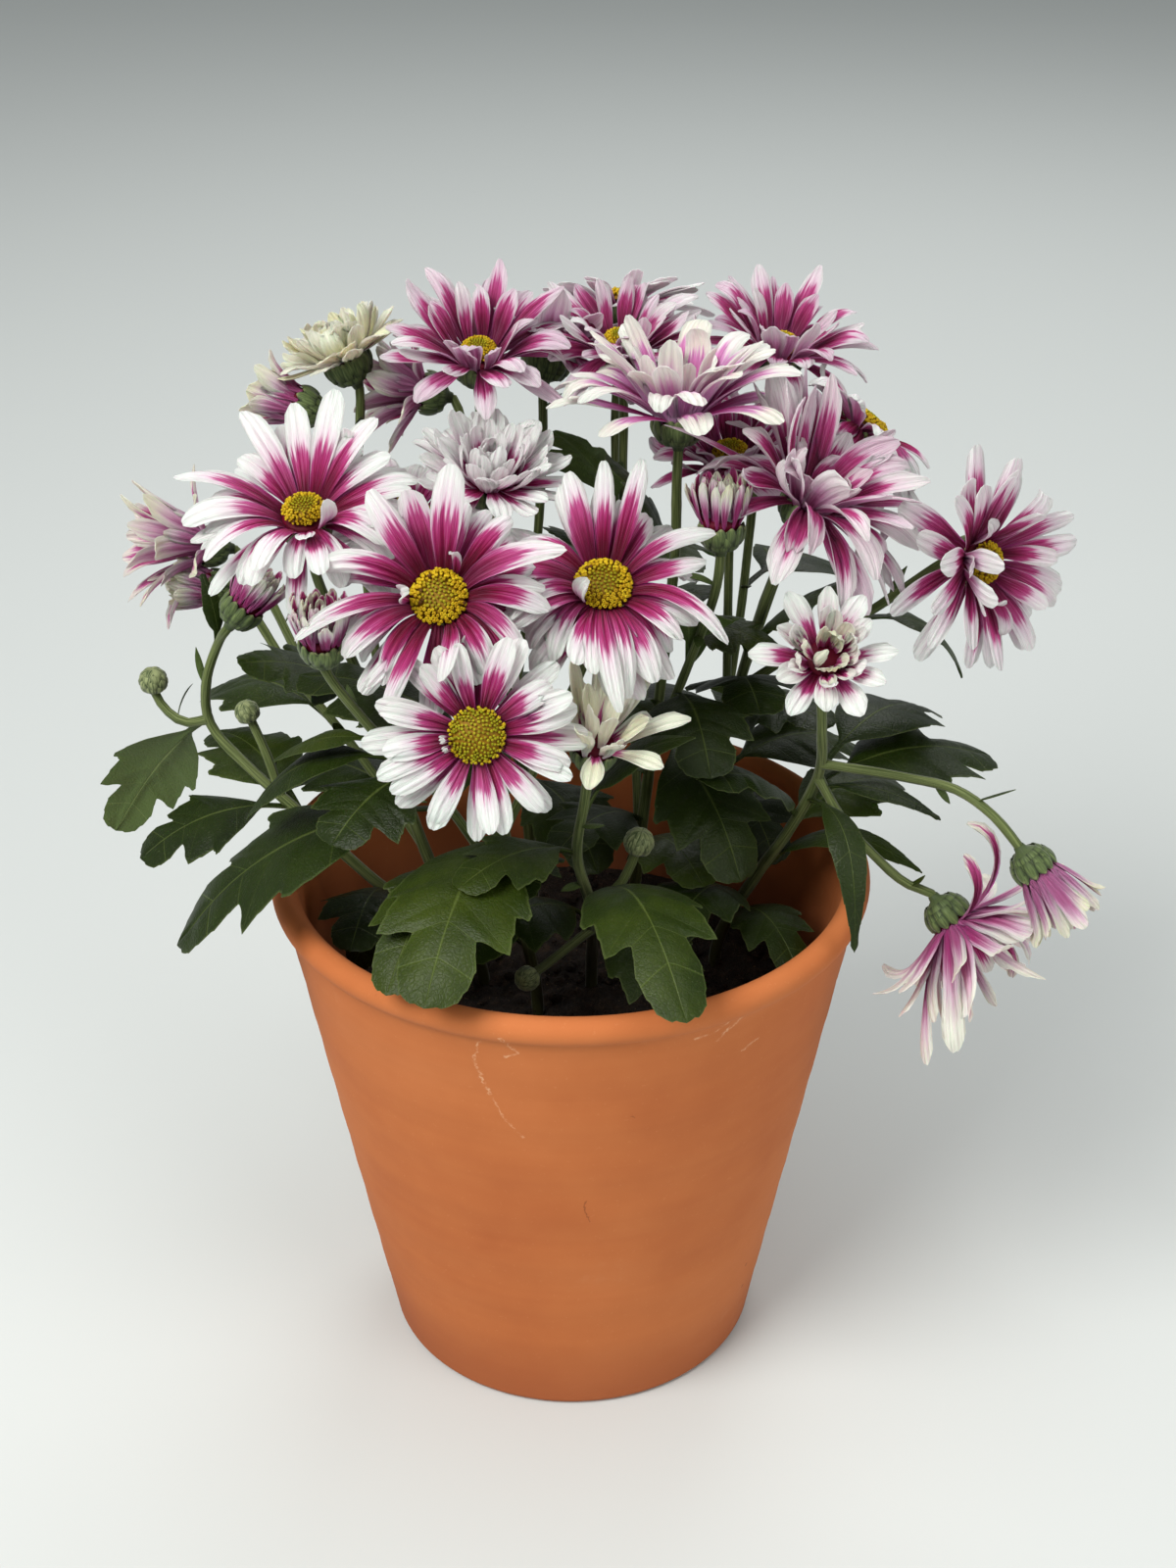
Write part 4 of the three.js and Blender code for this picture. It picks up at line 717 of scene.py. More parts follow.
class Piece:
    """Grids of points, gathered to make one object, with a UV map and four numbers a point for the looks."""

    def __init__(self):
        self.points, self.uvs, self.tones, self.faces, self.slots = [], [], [], [], []
        self.count = 0

    def grid(self, points, uv, tone, slot=0, flip=False, wrap=False):
        rows, cols = points.shape[:2]
        index = self.count + np.arange(rows * cols).reshape(rows, cols)
        if wrap:
            index = np.hstack((index, index[:, :1]))
        quads = np.stack((index[:-1, :-1], index[:-1, 1:], index[1:, 1:], index[1:, :-1]), axis=-1)
        quads = quads.reshape(-1, 4)
        self.faces.append(quads[:, ::-1] if flip else quads)
        self.points.append(points.reshape(-1, 3))
        self.uvs.append(np.broadcast_to(uv, (rows, cols, 2)).reshape(-1, 2))
        self.tones.append(np.broadcast_to(tone, (rows, cols, 4)).reshape(-1, 4))
        self.slots.append(np.full(len(quads), slot))
        self.count += rows * cols

    def shell(self, front, back, uv, tone, slot=0):
        """A thin closed sheet between two grids. The third number is a paleness: it becomes 0 to 0.4 in
        front and 1 to 0.6 behind."""
        tone = np.broadcast_to(tone, (*front.shape[:2], 4)).copy()
        tone[..., 2] *= 0.4
        back_tone = tone.copy()
        back_tone[..., 2] = 1 - tone[..., 2]
        self.grid(front, uv, tone, slot)
        self.grid(back, uv, back_tone, slot, flip=True)
        there, back_again = slice(None), slice(None, None, -1)
        for place in ((0, there), (there, -1), (-1, back_again), (back_again, 0)):
            strip = np.stack((back[place], front[place]))
            self.grid(strip, np.stack((uv[place],) * 2), np.stack((tone[place],) * 2), slot)

    def make(self, name, materials, node_name, slot_name):
        points = np.concatenate(self.points) * MM
        faces = np.concatenate(self.faces)
        mesh = bpy.data.meshes.new(name)
        mesh.vertices.add(len(points))
        mesh.vertices.foreach_set("co", points.astype(np.float32).ravel())
        mesh.loops.add(faces.size)
        mesh.loops.foreach_set("vertex_index", faces.astype(np.int32).ravel())
        mesh.polygons.add(len(faces))
        mesh.polygons.foreach_set("loop_start", np.arange(0, faces.size, 4, dtype=np.int32))
        mesh.polygons.foreach_set("material_index", np.concatenate(self.slots).astype(np.int32))
        mesh.polygons.foreach_set("use_smooth", np.ones(len(faces), bool))
        uv = mesh.uv_layers.new(name="UVMap")
        uv.data.foreach_set("uv", np.concatenate(self.uvs)[faces.ravel()].astype(np.float32).ravel())
        tone = mesh.color_attributes.new("tone", "FLOAT_COLOR", "POINT")
        tone.data.foreach_set("color", np.concatenate(self.tones).astype(np.float32).ravel())
        mesh.update()
        mesh.validate()
        piece = bpy.data.objects.new(name, mesh)
        bpy.context.scene.collection.objects.link(piece)
        for material in materials:
            mesh.materials.append(material)
        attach(piece, "root")
        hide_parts(node_name)


def tube(path, radii, sides, rib):
    """A tube along a path of points, its section ribbed lengthwise."""
    tangents = unit(np.gradient(path, axis=0))
    normal = unit(np.cross(tangents[0], UP if abs(tangents[0][2]) < 0.9 else np.array([1.0, 0, 0])))
    angles = circle(sides)
    waves = 1 + rib * np.cos(angles * sides / 2)
    rings = []
    for centre, tangent, radius in zip(path, tangents, radii):
        normal = unit(normal - tangent * np.dot(normal, tangent))
        other = np.cross(tangent, normal)
        section = np.cos(angles)[:, None] * normal + np.sin(angles)[:, None] * other
        rings.append(centre + section * (radius * waves)[:, None])
    return np.array(rings)


# -------------------------------------------------------------------------------- materials


def srgb(red, green, blue):
    """A colour as seen on a screen, in the numbers that shaders use."""
    shares = [v / 255 for v in (red, green, blue)]
    return tuple(v / 12.92 if v <= 0.04045 else ((v + 0.055) / 1.055) ** 2.4 for v in shares)


class Nodes:
    """A material and short ways to add nodes to it. Colours are given as seen on a screen."""

    def __init__(self, name):
        self.material = bpy.data.materials.new(name)
        self.material.use_nodes = True
        self.tree = self.material.node_tree
        self.shader = self.tree.nodes["Principled BSDF"]

    def set(self, **values):
        for name, value in values.items():
            self.feed(self.shader.inputs[name.replace("_", " ")], value)

    def feed(self, socket, value):
        if isinstance(value, bpy.types.NodeSocket):
            self.tree.links.new(value, socket)
        else:
            socket.default_value = value

    def add(self, kind, inputs, **settings):
        node = self.tree.nodes.new(kind)
        for name, value in settings.items():
            setattr(node, name, value)
        for key, value in inputs.items():
            self.feed(node.inputs[key], value)
        return node

    def math(self, operation, a, b=0.0, c=0.0):
        return self.add("ShaderNodeMath", {0: a, 1: b, 2: c}, operation=operation).outputs[0]

    def times(self, a, b):
        return self.math("MULTIPLY", a, b)

    def linear(self, a, factor, more):
        return self.math("MULTIPLY_ADD", a, factor, more)

    def less(self, a, b):
        return self.math("SUBTRACT", a, b)

    def rest(self, share):
        return self.less(1.0, share)

    def from_middle(self, across):
        """0 on the middle line, 1 at both edges."""
        return self.times(self.math("ABSOLUTE", self.less(across, 0.5)), 2.0)

    def mix(self, share, a, b):
        a, b = ((*srgb(*v), 1) if isinstance(v, tuple) else v for v in (a, b))
        return self.add("ShaderNodeMix", {0: share, 6: a, 7: b}, data_type="RGBA").outputs[2]

    def over(self, base, share, strength, colour):
        """A base colour with another over it, by a share and a strength."""
        return self.mix(self.times(share, strength), base, colour)

    def smooth(self, value, low, high):
        inputs = {"Value": value, "From Min": low, "From Max": high}
        return self.add("ShaderNodeMapRange", inputs, interpolation_type="SMOOTHSTEP").outputs["Result"]

    def noise(self, vector, scale, detail=2.0, roughness=0.5):
        inputs = {"Vector": vector, "Scale": scale, "Detail": detail, "Roughness": roughness}
        return self.add("ShaderNodeTexNoise", inputs).outputs["Fac"]

    def cells(self, vector, scale, feature="DISTANCE_TO_EDGE"):
        node = self.add("ShaderNodeTexVoronoi", {}, feature=feature)
        self.feed(node.inputs["Vector"], vector)
        self.feed(node.inputs["Scale"], scale)
        return node.outputs["Distance"]

    def vector(self, x, y, z=0.0):
        return self.add("ShaderNodeCombineXYZ", {0: x, 1: y, 2: z}).outputs[0]

    def ramp(self, value, *stops):
        """A run of colours, from stops that each give a place and a colour."""
        node = self.add("ShaderNodeValToRGB", {0: value})
        elements = node.color_ramp.elements
        for place, *_ in stops[2:]:
            elements.new(place)
        for element, (place, *colour) in zip(elements, stops):
            element.position = place
            element.color = (*srgb(*colour), 1)
        return node.outputs["Color"]

    def bump(self, height, strength, distance):
        inputs = {"Height": height, "Strength": strength, "Distance": distance}
        self.feed(self.shader.inputs["Normal"], self.add("ShaderNodeBump", inputs).outputs[0])

    def place(self):
        """Object position, in metres."""
        return self.add("ShaderNodeTexCoord", {}).outputs["Object"]

    def looks(self):
        """Across, along, and the four numbers of a piece's points."""
        uv = self.add("ShaderNodeUVMap", {}, uv_map="UVMap").outputs[0]
        split = self.add("ShaderNodeSeparateXYZ", {0: uv})
        tone = self.add("ShaderNodeAttribute", {}, attribute_name="tone")
        parts = self.add("ShaderNodeSeparateColor", {0: tone.outputs["Color"]})
        return split.outputs[0], split.outputs[1], *parts.outputs[:3], tone.outputs["Alpha"]

    def scratch(self, line, width):
        """How near the place is to a wobbly line on the front of the pot, through points in x and height."""
        place = self.place()
        parts = self.add("ShaderNodeSeparateXYZ", {0: place})
        wobble = self.linear(self.noise(place, 330.0, 3.0, 0.7), 0.005, -0.0025)
        x, z = self.math("ADD", parts.outputs[0], wobble), parts.outputs[2]
        nearest = 1.0
        for (x0, z0), (x1, z1) in zip(line[:-1], line[1:]):
            run, climb = (x1 - x0) * MM, (z1 - z0) * MM
            from_x, from_z = self.less(x, x0 * MM), self.less(z, z0 * MM)
            share = self.linear(from_x, run, self.times(from_z, climb))
            share = self.math("DIVIDE", share, run**2 + climb**2)
            share = self.math("MINIMUM", self.math("MAXIMUM", share, 0.0), 1.0)
            off_x = self.linear(share, -run, from_x)
            off_z = self.linear(share, -climb, from_z)
            square = self.linear(off_x, off_x, self.times(off_z, off_z))
            nearest = self.math("MINIMUM", nearest, self.math("SQRT", square))
        return self.smooth(nearest, width * MM, 0.0)


def ray_material():
    """Rays: magenta from the root with a flame up the middle, paler towards the tip, with fine veins and
    painted shade in the fine furrows.
    """
    n = Nodes("ray_florets")
    across, along, own, reach, side, code = n.looks()
    mauve = n.times(n.math("FLOOR", code), 0.1)
    tint = n.math("FRACT", code)
    own_place = n.times(own, 60.0)
    wide = n.vector(n.linear(across, 9.0, own_place), n.times(along, 1.2), own_place)
    streaks = n.noise(wide, 1.0, 3.0, 0.65)
    narrow = n.vector(n.linear(across, 34.0, own_place), n.times(along, 1.5), own)
    fine = n.noise(narrow, 1.0, 2.0, 0.6)
    flame = n.linear(n.math("POWER", n.from_middle(across), 2.6), -0.36, 1.1)
    limit = n.linear(n.less(streaks, 0.5), 0.6, n.times(reach, flame))
    depth = n.less(limit, along)
    share = n.smooth(depth, -0.05, 0.1)
    flush = n.smooth(depth, 0.02, 0.5)
    veins = n.smooth(fine, 0.52, 0.66)
    # Darker lines along the fine furrows, on the white and on the magenta: painted shade of the furrows.
    furrow_shade = n.smooth(fine, 0.47, 0.36)

    tip = n.mix(n.smooth(depth, -0.34, 0.02), (248, 241, 241), (232, 206, 220))
    tip = n.mix(mauve, tip, (196, 160, 184))
    tip = n.over(tip, tint, n.rest(share), (236, 230, 184))
    tip = n.over(tip, furrow_shade, n.linear(mauve, 0.5, 0.22), (168, 128, 152))
    heart = n.ramp(flush, (0.0, 172, 52, 116), (0.35, 148, 28, 86), (0.7, 118, 6, 52), (1.0, 84, 0, 24))
    heart = n.over(heart, mauve, 0.45, (150, 62, 112))
    heart = n.over(heart, veins, n.linear(flush, -0.2, 0.3), (214, 150, 192))
    heart = n.over(heart, furrow_shade, 0.5, (84, 2, 40))
    pale = n.times(n.math("MINIMUM", side, n.rest(side)), 2.5)
    heart = n.mix(pale, heart, n.mix(flush, (206, 136, 186), (158, 44, 112)))
    front = n.mix(share, tip, heart)

    back_share = n.smooth(depth, -0.25, 0.55)
    back = n.ramp(back_share, (0.0, 248, 240, 241), (0.5, 218, 180, 204), (1.0, 152, 54, 108))
    back = n.over(back, pale, back_share, (220, 150, 202))
    back = n.over(back, mauve, 0.75, (188, 144, 174))
    back = n.over(back, veins, n.linear(mauve, 0.35, 0.16), (150, 92, 130))
    back = n.over(back, tint, n.math("POWER", n.rest(back_share), 2.0), (234, 228, 182))
    is_back = n.math("GREATER_THAN", side, 0.5)
    n.set(Base_Color=n.mix(is_back, front, back), Roughness=0.6, Specular_IOR_Level=0.16)
    n.set(Subsurface_Weight=0.75, Subsurface_Radius=(1.0, 0.7, 0.85), Subsurface_Scale=0.0016)
    folds = n.math("SINE", n.linear(across, 20.0, n.times(streaks, 5.0)))
    ridges = n.linear(fine, 0.9, n.linear(streaks, 0.5, n.times(folds, 0.55)))
    n.bump(ridges, 0.9, 0.0006)
    return n.material


def leaf_material():
    """Leaves: dark matt green above with paler ribs and fine veins, grey green below."""
    n = Nodes("leaf")
    across, _, own, vein, side, _ = n.looks()
    place = n.place()
    rib = n.smooth(n.math("ABSOLUTE", n.less(across, 0.5)), 0.0, 0.022)
    lines = n.times(rib, n.linear(n.smooth(vein, 0.0, 0.05), 0.6, 0.4))
    net = n.smooth(n.cells(place, 760.0), 0.0, 0.2)
    grain = n.noise(place, 1300.0, 2.0, 0.6)
    tone = n.linear(n.noise(place, 70.0, 3.0, 0.6), 0.6, n.times(own, 0.4))
    top = n.ramp(tone, (0.25, 20, 31, 3), (0.55, 35, 48, 8), (0.85, 58, 71, 15))
    top = n.over(top, n.rest(net), 0.2, (24, 36, 8))
    top = n.over(top, n.rest(lines), 0.5, (96, 110, 52))
    top = n.over(top, n.smooth(n.from_middle(across), 0.94, 1.0), 0.22, (112, 124, 72))
    top = n.over(top, n.smooth(grain, 0.62, 0.74), 0.2, (112, 124, 86))
    below = n.over((76, 92, 48), n.rest(lines), 0.7, (116, 130, 78))
    n.set(Base_Color=n.mix(side, top, below), Roughness=0.44, Specular_IOR_Level=0.2)
    n.set(Subsurface_Weight=0.06, Subsurface_Radius=(0.4, 1.0, 0.2), Subsurface_Scale=0.0008)
    height = n.linear(net, 0.22, n.linear(lines, 0.5, n.times(grain, 0.5)))
    n.bump(n.linear(n.noise(place, 260.0), 0.9, height), 0.5, 0.0005)
    return n.material


def stem_material():
    """Stems: pale ridged green, darker and browner low down, with a bloom of fine down."""
    n = Nodes("stem")
    across, along, own, low, *_ = n.looks()
    place = n.place()
    stripes = n.noise(n.vector(n.times(across, 26.0), n.times(along, 2.0), own), 1.0, 2.0)
    green = n.ramp(stripes, (0.36, 56, 68, 30), (0.66, 122, 132, 82))
    green = n.over(green, n.noise(place, 120.0, 3.0), 0.5, (70, 84, 36))
    green = n.mix(low, green, (56, 58, 28))
    n.set(Base_Color=green, Roughness=0.6, Specular_IOR_Level=0.2, Sheen_Weight=0.2, Sheen_Roughness=0.4)
    n.bump(n.linear(stripes, 1.0, n.times(n.noise(place, 1500.0), 0.4)), 0.4, 0.0004)
    return n.material


def bract_material():
    """Scales of calyxes and buds: green, with painted shade at the foot and along the edges where the scales
    overlap, and a pale tip.
    """
    n = Nodes("bract")
    across, along, own, _, _, pale = n.looks()
    edge = n.from_middle(across)
    stripes = n.noise(n.vector(n.times(across, 9.0), along, n.times(own, 40.0)), 1.0, 2.0)
    green = n.ramp(stripes, (0.3, 50, 66, 32), (0.7, 102, 118, 68))
    green = n.over(green, pale, n.smooth(stripes, 0.3, 0.6), (176, 180, 132))
    # Darker at the foot of each scale: painted shade under the scale above.
    green = n.over(green, n.smooth(along, 0.3, 0.0), 0.5, (26, 38, 14))
    # Darker along the edges: painted shade in the lines between overlapping scales.
    green = n.over(green, n.smooth(edge, 0.55, 0.95), 0.75, (24, 36, 12))
    green = n.over(green, n.smooth(along, 0.8, 0.98), 0.6, (134, 138, 92))
    n.set(Base_Color=green, Roughness=0.6, Specular_IOR_Level=0.25, Sheen_Weight=0.18)
    n.bump(n.math("ADD", stripes, n.times(n.noise(n.place(), 1400.0), 0.5)), 0.4, 0.0003)
    return n.material


def floret_material():
    """Disc florets: golden tubes outside, greener closed ones in the middle, with brown specks."""
    n = Nodes("disc_florets")
    _, along, own, ripe, _, speck = n.looks()
    gold = n.ramp(own, (0.0, 172, 136, 6), (1.0, 208, 180, 30))
    green = n.ramp(own, (0.0, 118, 126, 8), (1.0, 160, 162, 24))
    colour = n.mix(ripe, green, gold)
    colour = n.mix(n.smooth(along, 0.85, 0.2), colour, (140, 104, 12))
    colour = n.mix(speck, colour, (92, 58, 18))
    n.set(Base_Color=colour, Roughness=0.6, Specular_IOR_Level=0.2)
    n.set(Subsurface_Weight=0.1, Subsurface_Scale=0.0006)
    n.bump(n.noise(n.place(), 4000.0), 0.3, 0.0002)
    return n.material


def terracotta_material():
    """Fired clay: soft orange mottling, turning lines, pale salt marks and small dark specks, with painted
    shade down the inside wall.
    """
    n = Nodes("terracotta")
    across, along, inner_shade, marks, _, low = n.looks()
    place = n.place()
    cloud = n.noise(place, 14.0, 4.0, 0.6)
    grain = n.noise(place, 700.0, 3.0, 0.7)
    turning = n.noise(n.vector(n.times(across, 3.0), n.times(along, 90.0)), 1.0, 2.0)
    tone = n.linear(turning, 0.12, n.times(cloud, 0.88))
    clay = n.ramp(tone, (0.3, 174, 94, 48), (0.52, 186, 106, 56), (0.75, 196, 116, 65))
    clay = n.over(clay, n.smooth(grain, 0.62, 0.72), 0.14, (216, 150, 104))
    clay = n.over(clay, low, 0.55, (150, 78, 44))
    clay = n.over(clay, n.smooth(n.noise(place, 26.0, 5.0, 0.7), 0.62, 0.76), 0.1, (222, 178, 142))
    y = n.add("ShaderNodeSeparateXYZ", {0: place}).outputs[1]
    in_front = n.times(n.math("LESS_THAN", y, 0.0), marks)
    salt = n.times(n.linear(n.noise(place, 420.0, 3.0, 0.7), 2.4, -0.95), in_front)
    scored = n.times(in_front, 0.6)
    for line in SALT_LINES:
        clay = n.over(clay, n.scratch(line, 0.55), salt, (232, 190, 150))
    for line in SCORED_LINES:
        clay = n.over(clay, n.scratch(line, 0.4), scored, (110, 54, 28))
    clay = n.over(clay, n.smooth(n.cells(place, 60.0, "F1"), 0.05, 0.03), 0.5, (120, 62, 36))
    # Darker down the inside wall towards the soil: painted shade inside the pot.
    clay = n.over(clay, inner_shade, 0.7, (104, 58, 36))
    n.set(Base_Color=clay, Roughness=0.82, Specular_IOR_Level=0.3)
    n.bump(n.linear(turning, 0.35, n.times(grain, 0.5)), 0.25, 0.0004)
    return n.material


def soil_material():
    """Potting soil: near black and damp, with brown fibres and a few pale crumbs."""
    n = Nodes("soil")
    place = n.place()
    lumps = n.noise(place, 260.0, 4.0, 0.7)
    colour = n.ramp(lumps, (0.3, 22, 17, 13), (0.5, 38, 28, 20), (0.7, 64, 48, 34))
    colour = n.mix(n.smooth(n.noise(place, 1100.0), 0.68, 0.76), colour, (120, 98, 70))
    n.set(Base_Color=colour, Roughness=0.95)
    n.bump(n.math("ADD", lumps, n.noise(place, 1500.0)), 0.8, 0.001)
    return n.material


def floor_material():
    n = Nodes("floor")
    n.set(Base_Color=(*srgb(204, 208, 206), 1), Roughness=0.9, Specular_IOR_Level=0.1)
    return n.material


# -------------------------------------------------------------------------------- pot and soil


def arc(centre, half_sizes, start, end, steps):
    """Points on an arc of a profile, between two angles in degrees."""
    (x, z), (half_width, half_height) = centre, half_sizes
    angles = np.radians(np.linspace(start, end, steps))
    return [(x + half_width * math.cos(angle), z + half_height * math.sin(angle)) for angle in angles]


def straight(start, end, steps):
    """Points on a straight run of a profile, without the first."""
    (x0, z0), (x1, z1) = start, end
    return [(x0 + (x1 - x0) * share, z0 + (z1 - z0) * share) for share in np.linspace(0, 1, steps)[1:]]


def make_pot(material):
    """The turned pot, with a rolled lip, faint turning lines and a slightly uneven wall."""
    lip_centre = ((LIP_RADIUS + MOUTH_RADIUS) / 2, LIP_CENTRE_HEIGHT)
    lip_half = ((LIP_RADIUS - MOUTH_RADIUS) / 2, POT_HEIGHT - LIP_CENTRE_HEIGHT)
    outer = [(DRAIN_RADIUS, 0), (DRAIN_EDGE, 0), (UNDERSIDE_RADIUS, 0)]
    outer += arc((FOOT_RADIUS - FOOT_ROUND, FOOT_ROUND), (FOOT_ROUND, FOOT_ROUND), -90, 0, FOOT_STEPS)
    outer += straight((FOOT_RADIUS, FOOT_ROUND), (GROOVE_RADIUS, GROOVE_HEIGHT), POT_RINGS)
    inner_start = len(outer) + MOUTH_STEP
    lip = arc(lip_centre, lip_half, -50, 180, LIP_STEPS)
    inner = straight((MOUTH_RADIUS, LIP_CENTRE_HEIGHT), (FLOOR_RADIUS, FLOOR_EDGE), INNER_RINGS)
    floor = [(radius, FLOOR_THICKNESS) for radius in (FLOOR_RADIUS - FOOT_ROUND, DRAIN_EDGE, DRAIN_RADIUS)]
    profile = np.array(outer + lip + inner + floor + [(DRAIN_RADIUS, 0)], float)
    radius, height = profile[:, :1], profile[:, 1:]
    angles = np.linspace(0, 2 * math.pi, POT_SIDES + 1)

    waver = WAVER * np.sin(height * 0.33 + 0.7 * np.sin(angles))
    turning = TURNING * np.sin(height * 0.9 + 2)
    oval = OVAL * np.sin(2 * angles + height * 0.02)
    is_wall = smooth_step(height, *WALL_FOOT) * smooth_step(height, *WALL_TOP)
    reach = radius + is_wall * (waver + turning + oval)
    points = np.stack((reach * np.cos(angles), reach * np.sin(angles), height + 0 * angles), axis=-1)

    is_inner = (np.arange(len(profile)) >= inner_start)[:, None] & (height > 1)
    tone = np.zeros((*points.shape[:2], 4))
    # The first number is painted shade on the inside wall, deeper towards the soil.
    tone[..., 0] = is_inner * smooth_step(height, 150, 112)
    tone[..., 1] = ~is_inner
    tone[..., 3] = smooth_step(height, 34, 2) * ~is_inner
    run = np.concatenate(([0], np.cumsum(np.linalg.norm(np.diff(profile, axis=0), axis=1))))
    piece = Piece()
    piece.grid(points, uv_grid(np.linspace(0, 1, len(angles)), run / run[-1]), tone)
    piece.make("clay_pot", [material], "terracotta_pot", "terracotta")


def make_soil(material):
    """The soil's lumpy top with loose crumbs on it."""
    edge_height = SOIL_TOP - SOIL_LUMP
    slope = (edge_height - FLOOR_EDGE) / (LIP_CENTRE_HEIGHT - FLOOR_EDGE)
    edge = FLOOR_RADIUS + (MOUTH_RADIUS - FLOOR_RADIUS) * slope - GAP
    angles = np.linspace(0, 2 * math.pi, SOIL_SIDES + 1)
    shares = np.linspace(0.001, 1, SOIL_RINGS)[:, None]
    x, y = edge * shares * np.cos(angles), edge * shares * np.sin(angles)
    broad = np.sin(0.11 * x + 1.3) * np.cos(0.13 * y - 0.4)
    fine = np.sin(0.47 * x - 0.31 * y) * np.cos(0.29 * x + 0.53 * y + 2)
    crumbs = np.sin(1.7 * x + 0.9 * np.sin(0.8 * y)) * np.sin(1.9 * y + 1.1 * np.sin(0.7 * x))
    z = SOIL_TOP + SOIL_LUMP * (0.5 * broad + 0.5 * fine) * (shares < 0.95) + 0.7 * crumbs - 0.8
    z = np.where(shares > 0.97, edge_height, z)
    piece = Piece()
    piece.grid(np.stack((x, y, z), axis=-1), uv_grid(np.linspace(0, 1, len(angles)), shares[:, 0]), PLAIN)

    down = np.linspace(0, 1, SOIL_SIDE_RINGS)
    radii = edge + (FLOOR_RADIUS - GAP - edge) * down
    side = revolved(radii, edge_height + (FLOOR_EDGE - edge_height) * down, angles)
    base_radii = (FLOOR_RADIUS - GAP, FLOOR_RADIUS - FOOT_ROUND - GAP, 0.01)
    base = revolved(base_radii, (FLOOR_EDGE, FLOOR_THICKNESS + GAP, FLOOR_THICKNESS + GAP), angles)
    for points in (side, base):
        piece.grid(points, even_uv(points), PLAIN)

    rng = np.random.default_rng(CRUMB_SEED)
    theta = np.linspace(0.05, math.pi - 0.05, 5)
    ball = revolved(np.sin(theta), np.cos(theta), circle(6))
    for _ in range(SOIL_CRUMBS):
        reach, bearing = edge * 0.94 * math.sqrt(rng.random()), rng.random() * 2 * math.pi
        size = 0.6 + 1.6 * rng.random() ** 2
        lump = ball * (1 + 0.35 * (rng.random(ball.shape[:2]) - 0.5))[..., None]
        lump = lump * size * np.array([1, 0.8 + 0.4 * rng.random(), 0.7])
        lump = turned(lump, UP, rng.random() * 6.3)
        centre = [reach * math.cos(bearing), reach * math.sin(bearing), SOIL_TOP + 0.4 + 0.4 * rng.random()]
        piece.grid(lump + np.array(centre), even_uv(lump), PLAIN, wrap=True)
    piece.make("soil_top", [material], "soil", "soil")


# -------------------------------------------------------------------------------- heads


def read_heads():
    """Each head's row with its kind, its look and its own frame, the third way of which is its axis."""
    fields = ("kind", "at", "bearing", "rise", "reach")
    heads = {name: dict(zip(fields, row), name=name) for name, row in HEADS.items()}
    for head in heads.values():
        head["look"] = {**RAY_LOOK, **KIND_LOOKS.get(head["kind"], {}), **HEAD_LOOKS.get(head["name"], {})}
        head["kind"] = HEAD_KINDS[head["kind"]]
        head["hub"] = HUB_RADIUS * head["kind"]["size"]
        head["at"] = np.array(head["at"], float)
        bearing, rise = math.radians(head["bearing"]), math.radians(head["rise"])
        axis = math.cos(rise) * level(bearing) + math.sin(rise) * UP
        across = beside(level(bearing))
        head["basis"] = np.stack((across, np.cross(axis, across), axis))
    return heads


def to_world(points, head):
    """Points of a head's own frame, in the scene."""
    return points @ head["basis"] + head["at"]


def ray_shapes(head, seed):
    """The ray of each slot round a hub, drawn as in the part's source."""
    kind = head["kind"]
    draw = Draw(seed)
    slots = len(kind["pattern"]) * kind["repeats"]
    shapes = []
    for slot in range(slots):
        root, tip, length, width, wild = kind["rows"][kind["pattern"][slot % len(kind["pattern"])]]
        azimuth = 2 * math.pi * slot / slots
        shapes.append(dict(
            azimuth=azimuth,
            root_radius=head["hub"],
            heading=azimuth + math.radians(draw.spread(STRAY["heading"])),
            root=root + draw.spread(STRAY["root"] * wild),
            tip=tip + draw.spread(STRAY["tip"] * wild),
            length=(head["reach"] - head["hub"]) * length * (1 + draw.spread(STRAY["length"])),
            width=RAY_WIDTH * width * (1 + draw.spread(STRAY["width"])),
            twist=math.radians(draw.spread(STRAY["twist"] * wild)),
            sway=draw.spread(STRAY["sway"] * wild),
        ))
    return shapes


def with_turn(shape, turn):
    """A ray raised by a pitch, turned by a yaw and shortened, as the part's source does where rays cross."""
    pitch, yaw, size = turn
    return {
        **shape,
        "heading": shape["heading"] + math.radians(yaw),
        "root": shape["root"] + pitch / 2,
        "tip": shape["tip"] + pitch,
        "length": shape["length"] * size,
    }


def ray_root(shape):
    """Where a ray starts on the edge of its hub."""
    return level(shape["azimuth"]) * shape["root_radius"] + HUB_EDGE * UP


def closed_tip(shape):
    """Where the solid's ray ends, in its head's frame."""
    start, bend = math.radians(shape["root"]), math.radians(shape["tip"] - shape["root"]) or 1e-4
    outward = level(shape["heading"])
    run = (math.sin(start + bend) - math.sin(start)) / bend
    climb = (math.cos(start) - math.cos(start + bend)) / bend
    return ray_root(shape) + shape["length"] * (run * outward + climb * UP + shape["sway"] * beside(outward))


def settled_rays(head, index):
    """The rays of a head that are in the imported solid, each turned as it is there."""
    tree = vertex_tree(f"rays_{head['name']}")
    rays = []
    for shape in ray_shapes(head, index + 1):
        for turn in mixes(*RAY_TURNS):
            candidate = with_turn(shape, turn)
            if tree.find(Vector(to_world(closed_tip(candidate), head)))[2] < RAY_MATCH:
                rays.append(candidate)
                break
    return rays


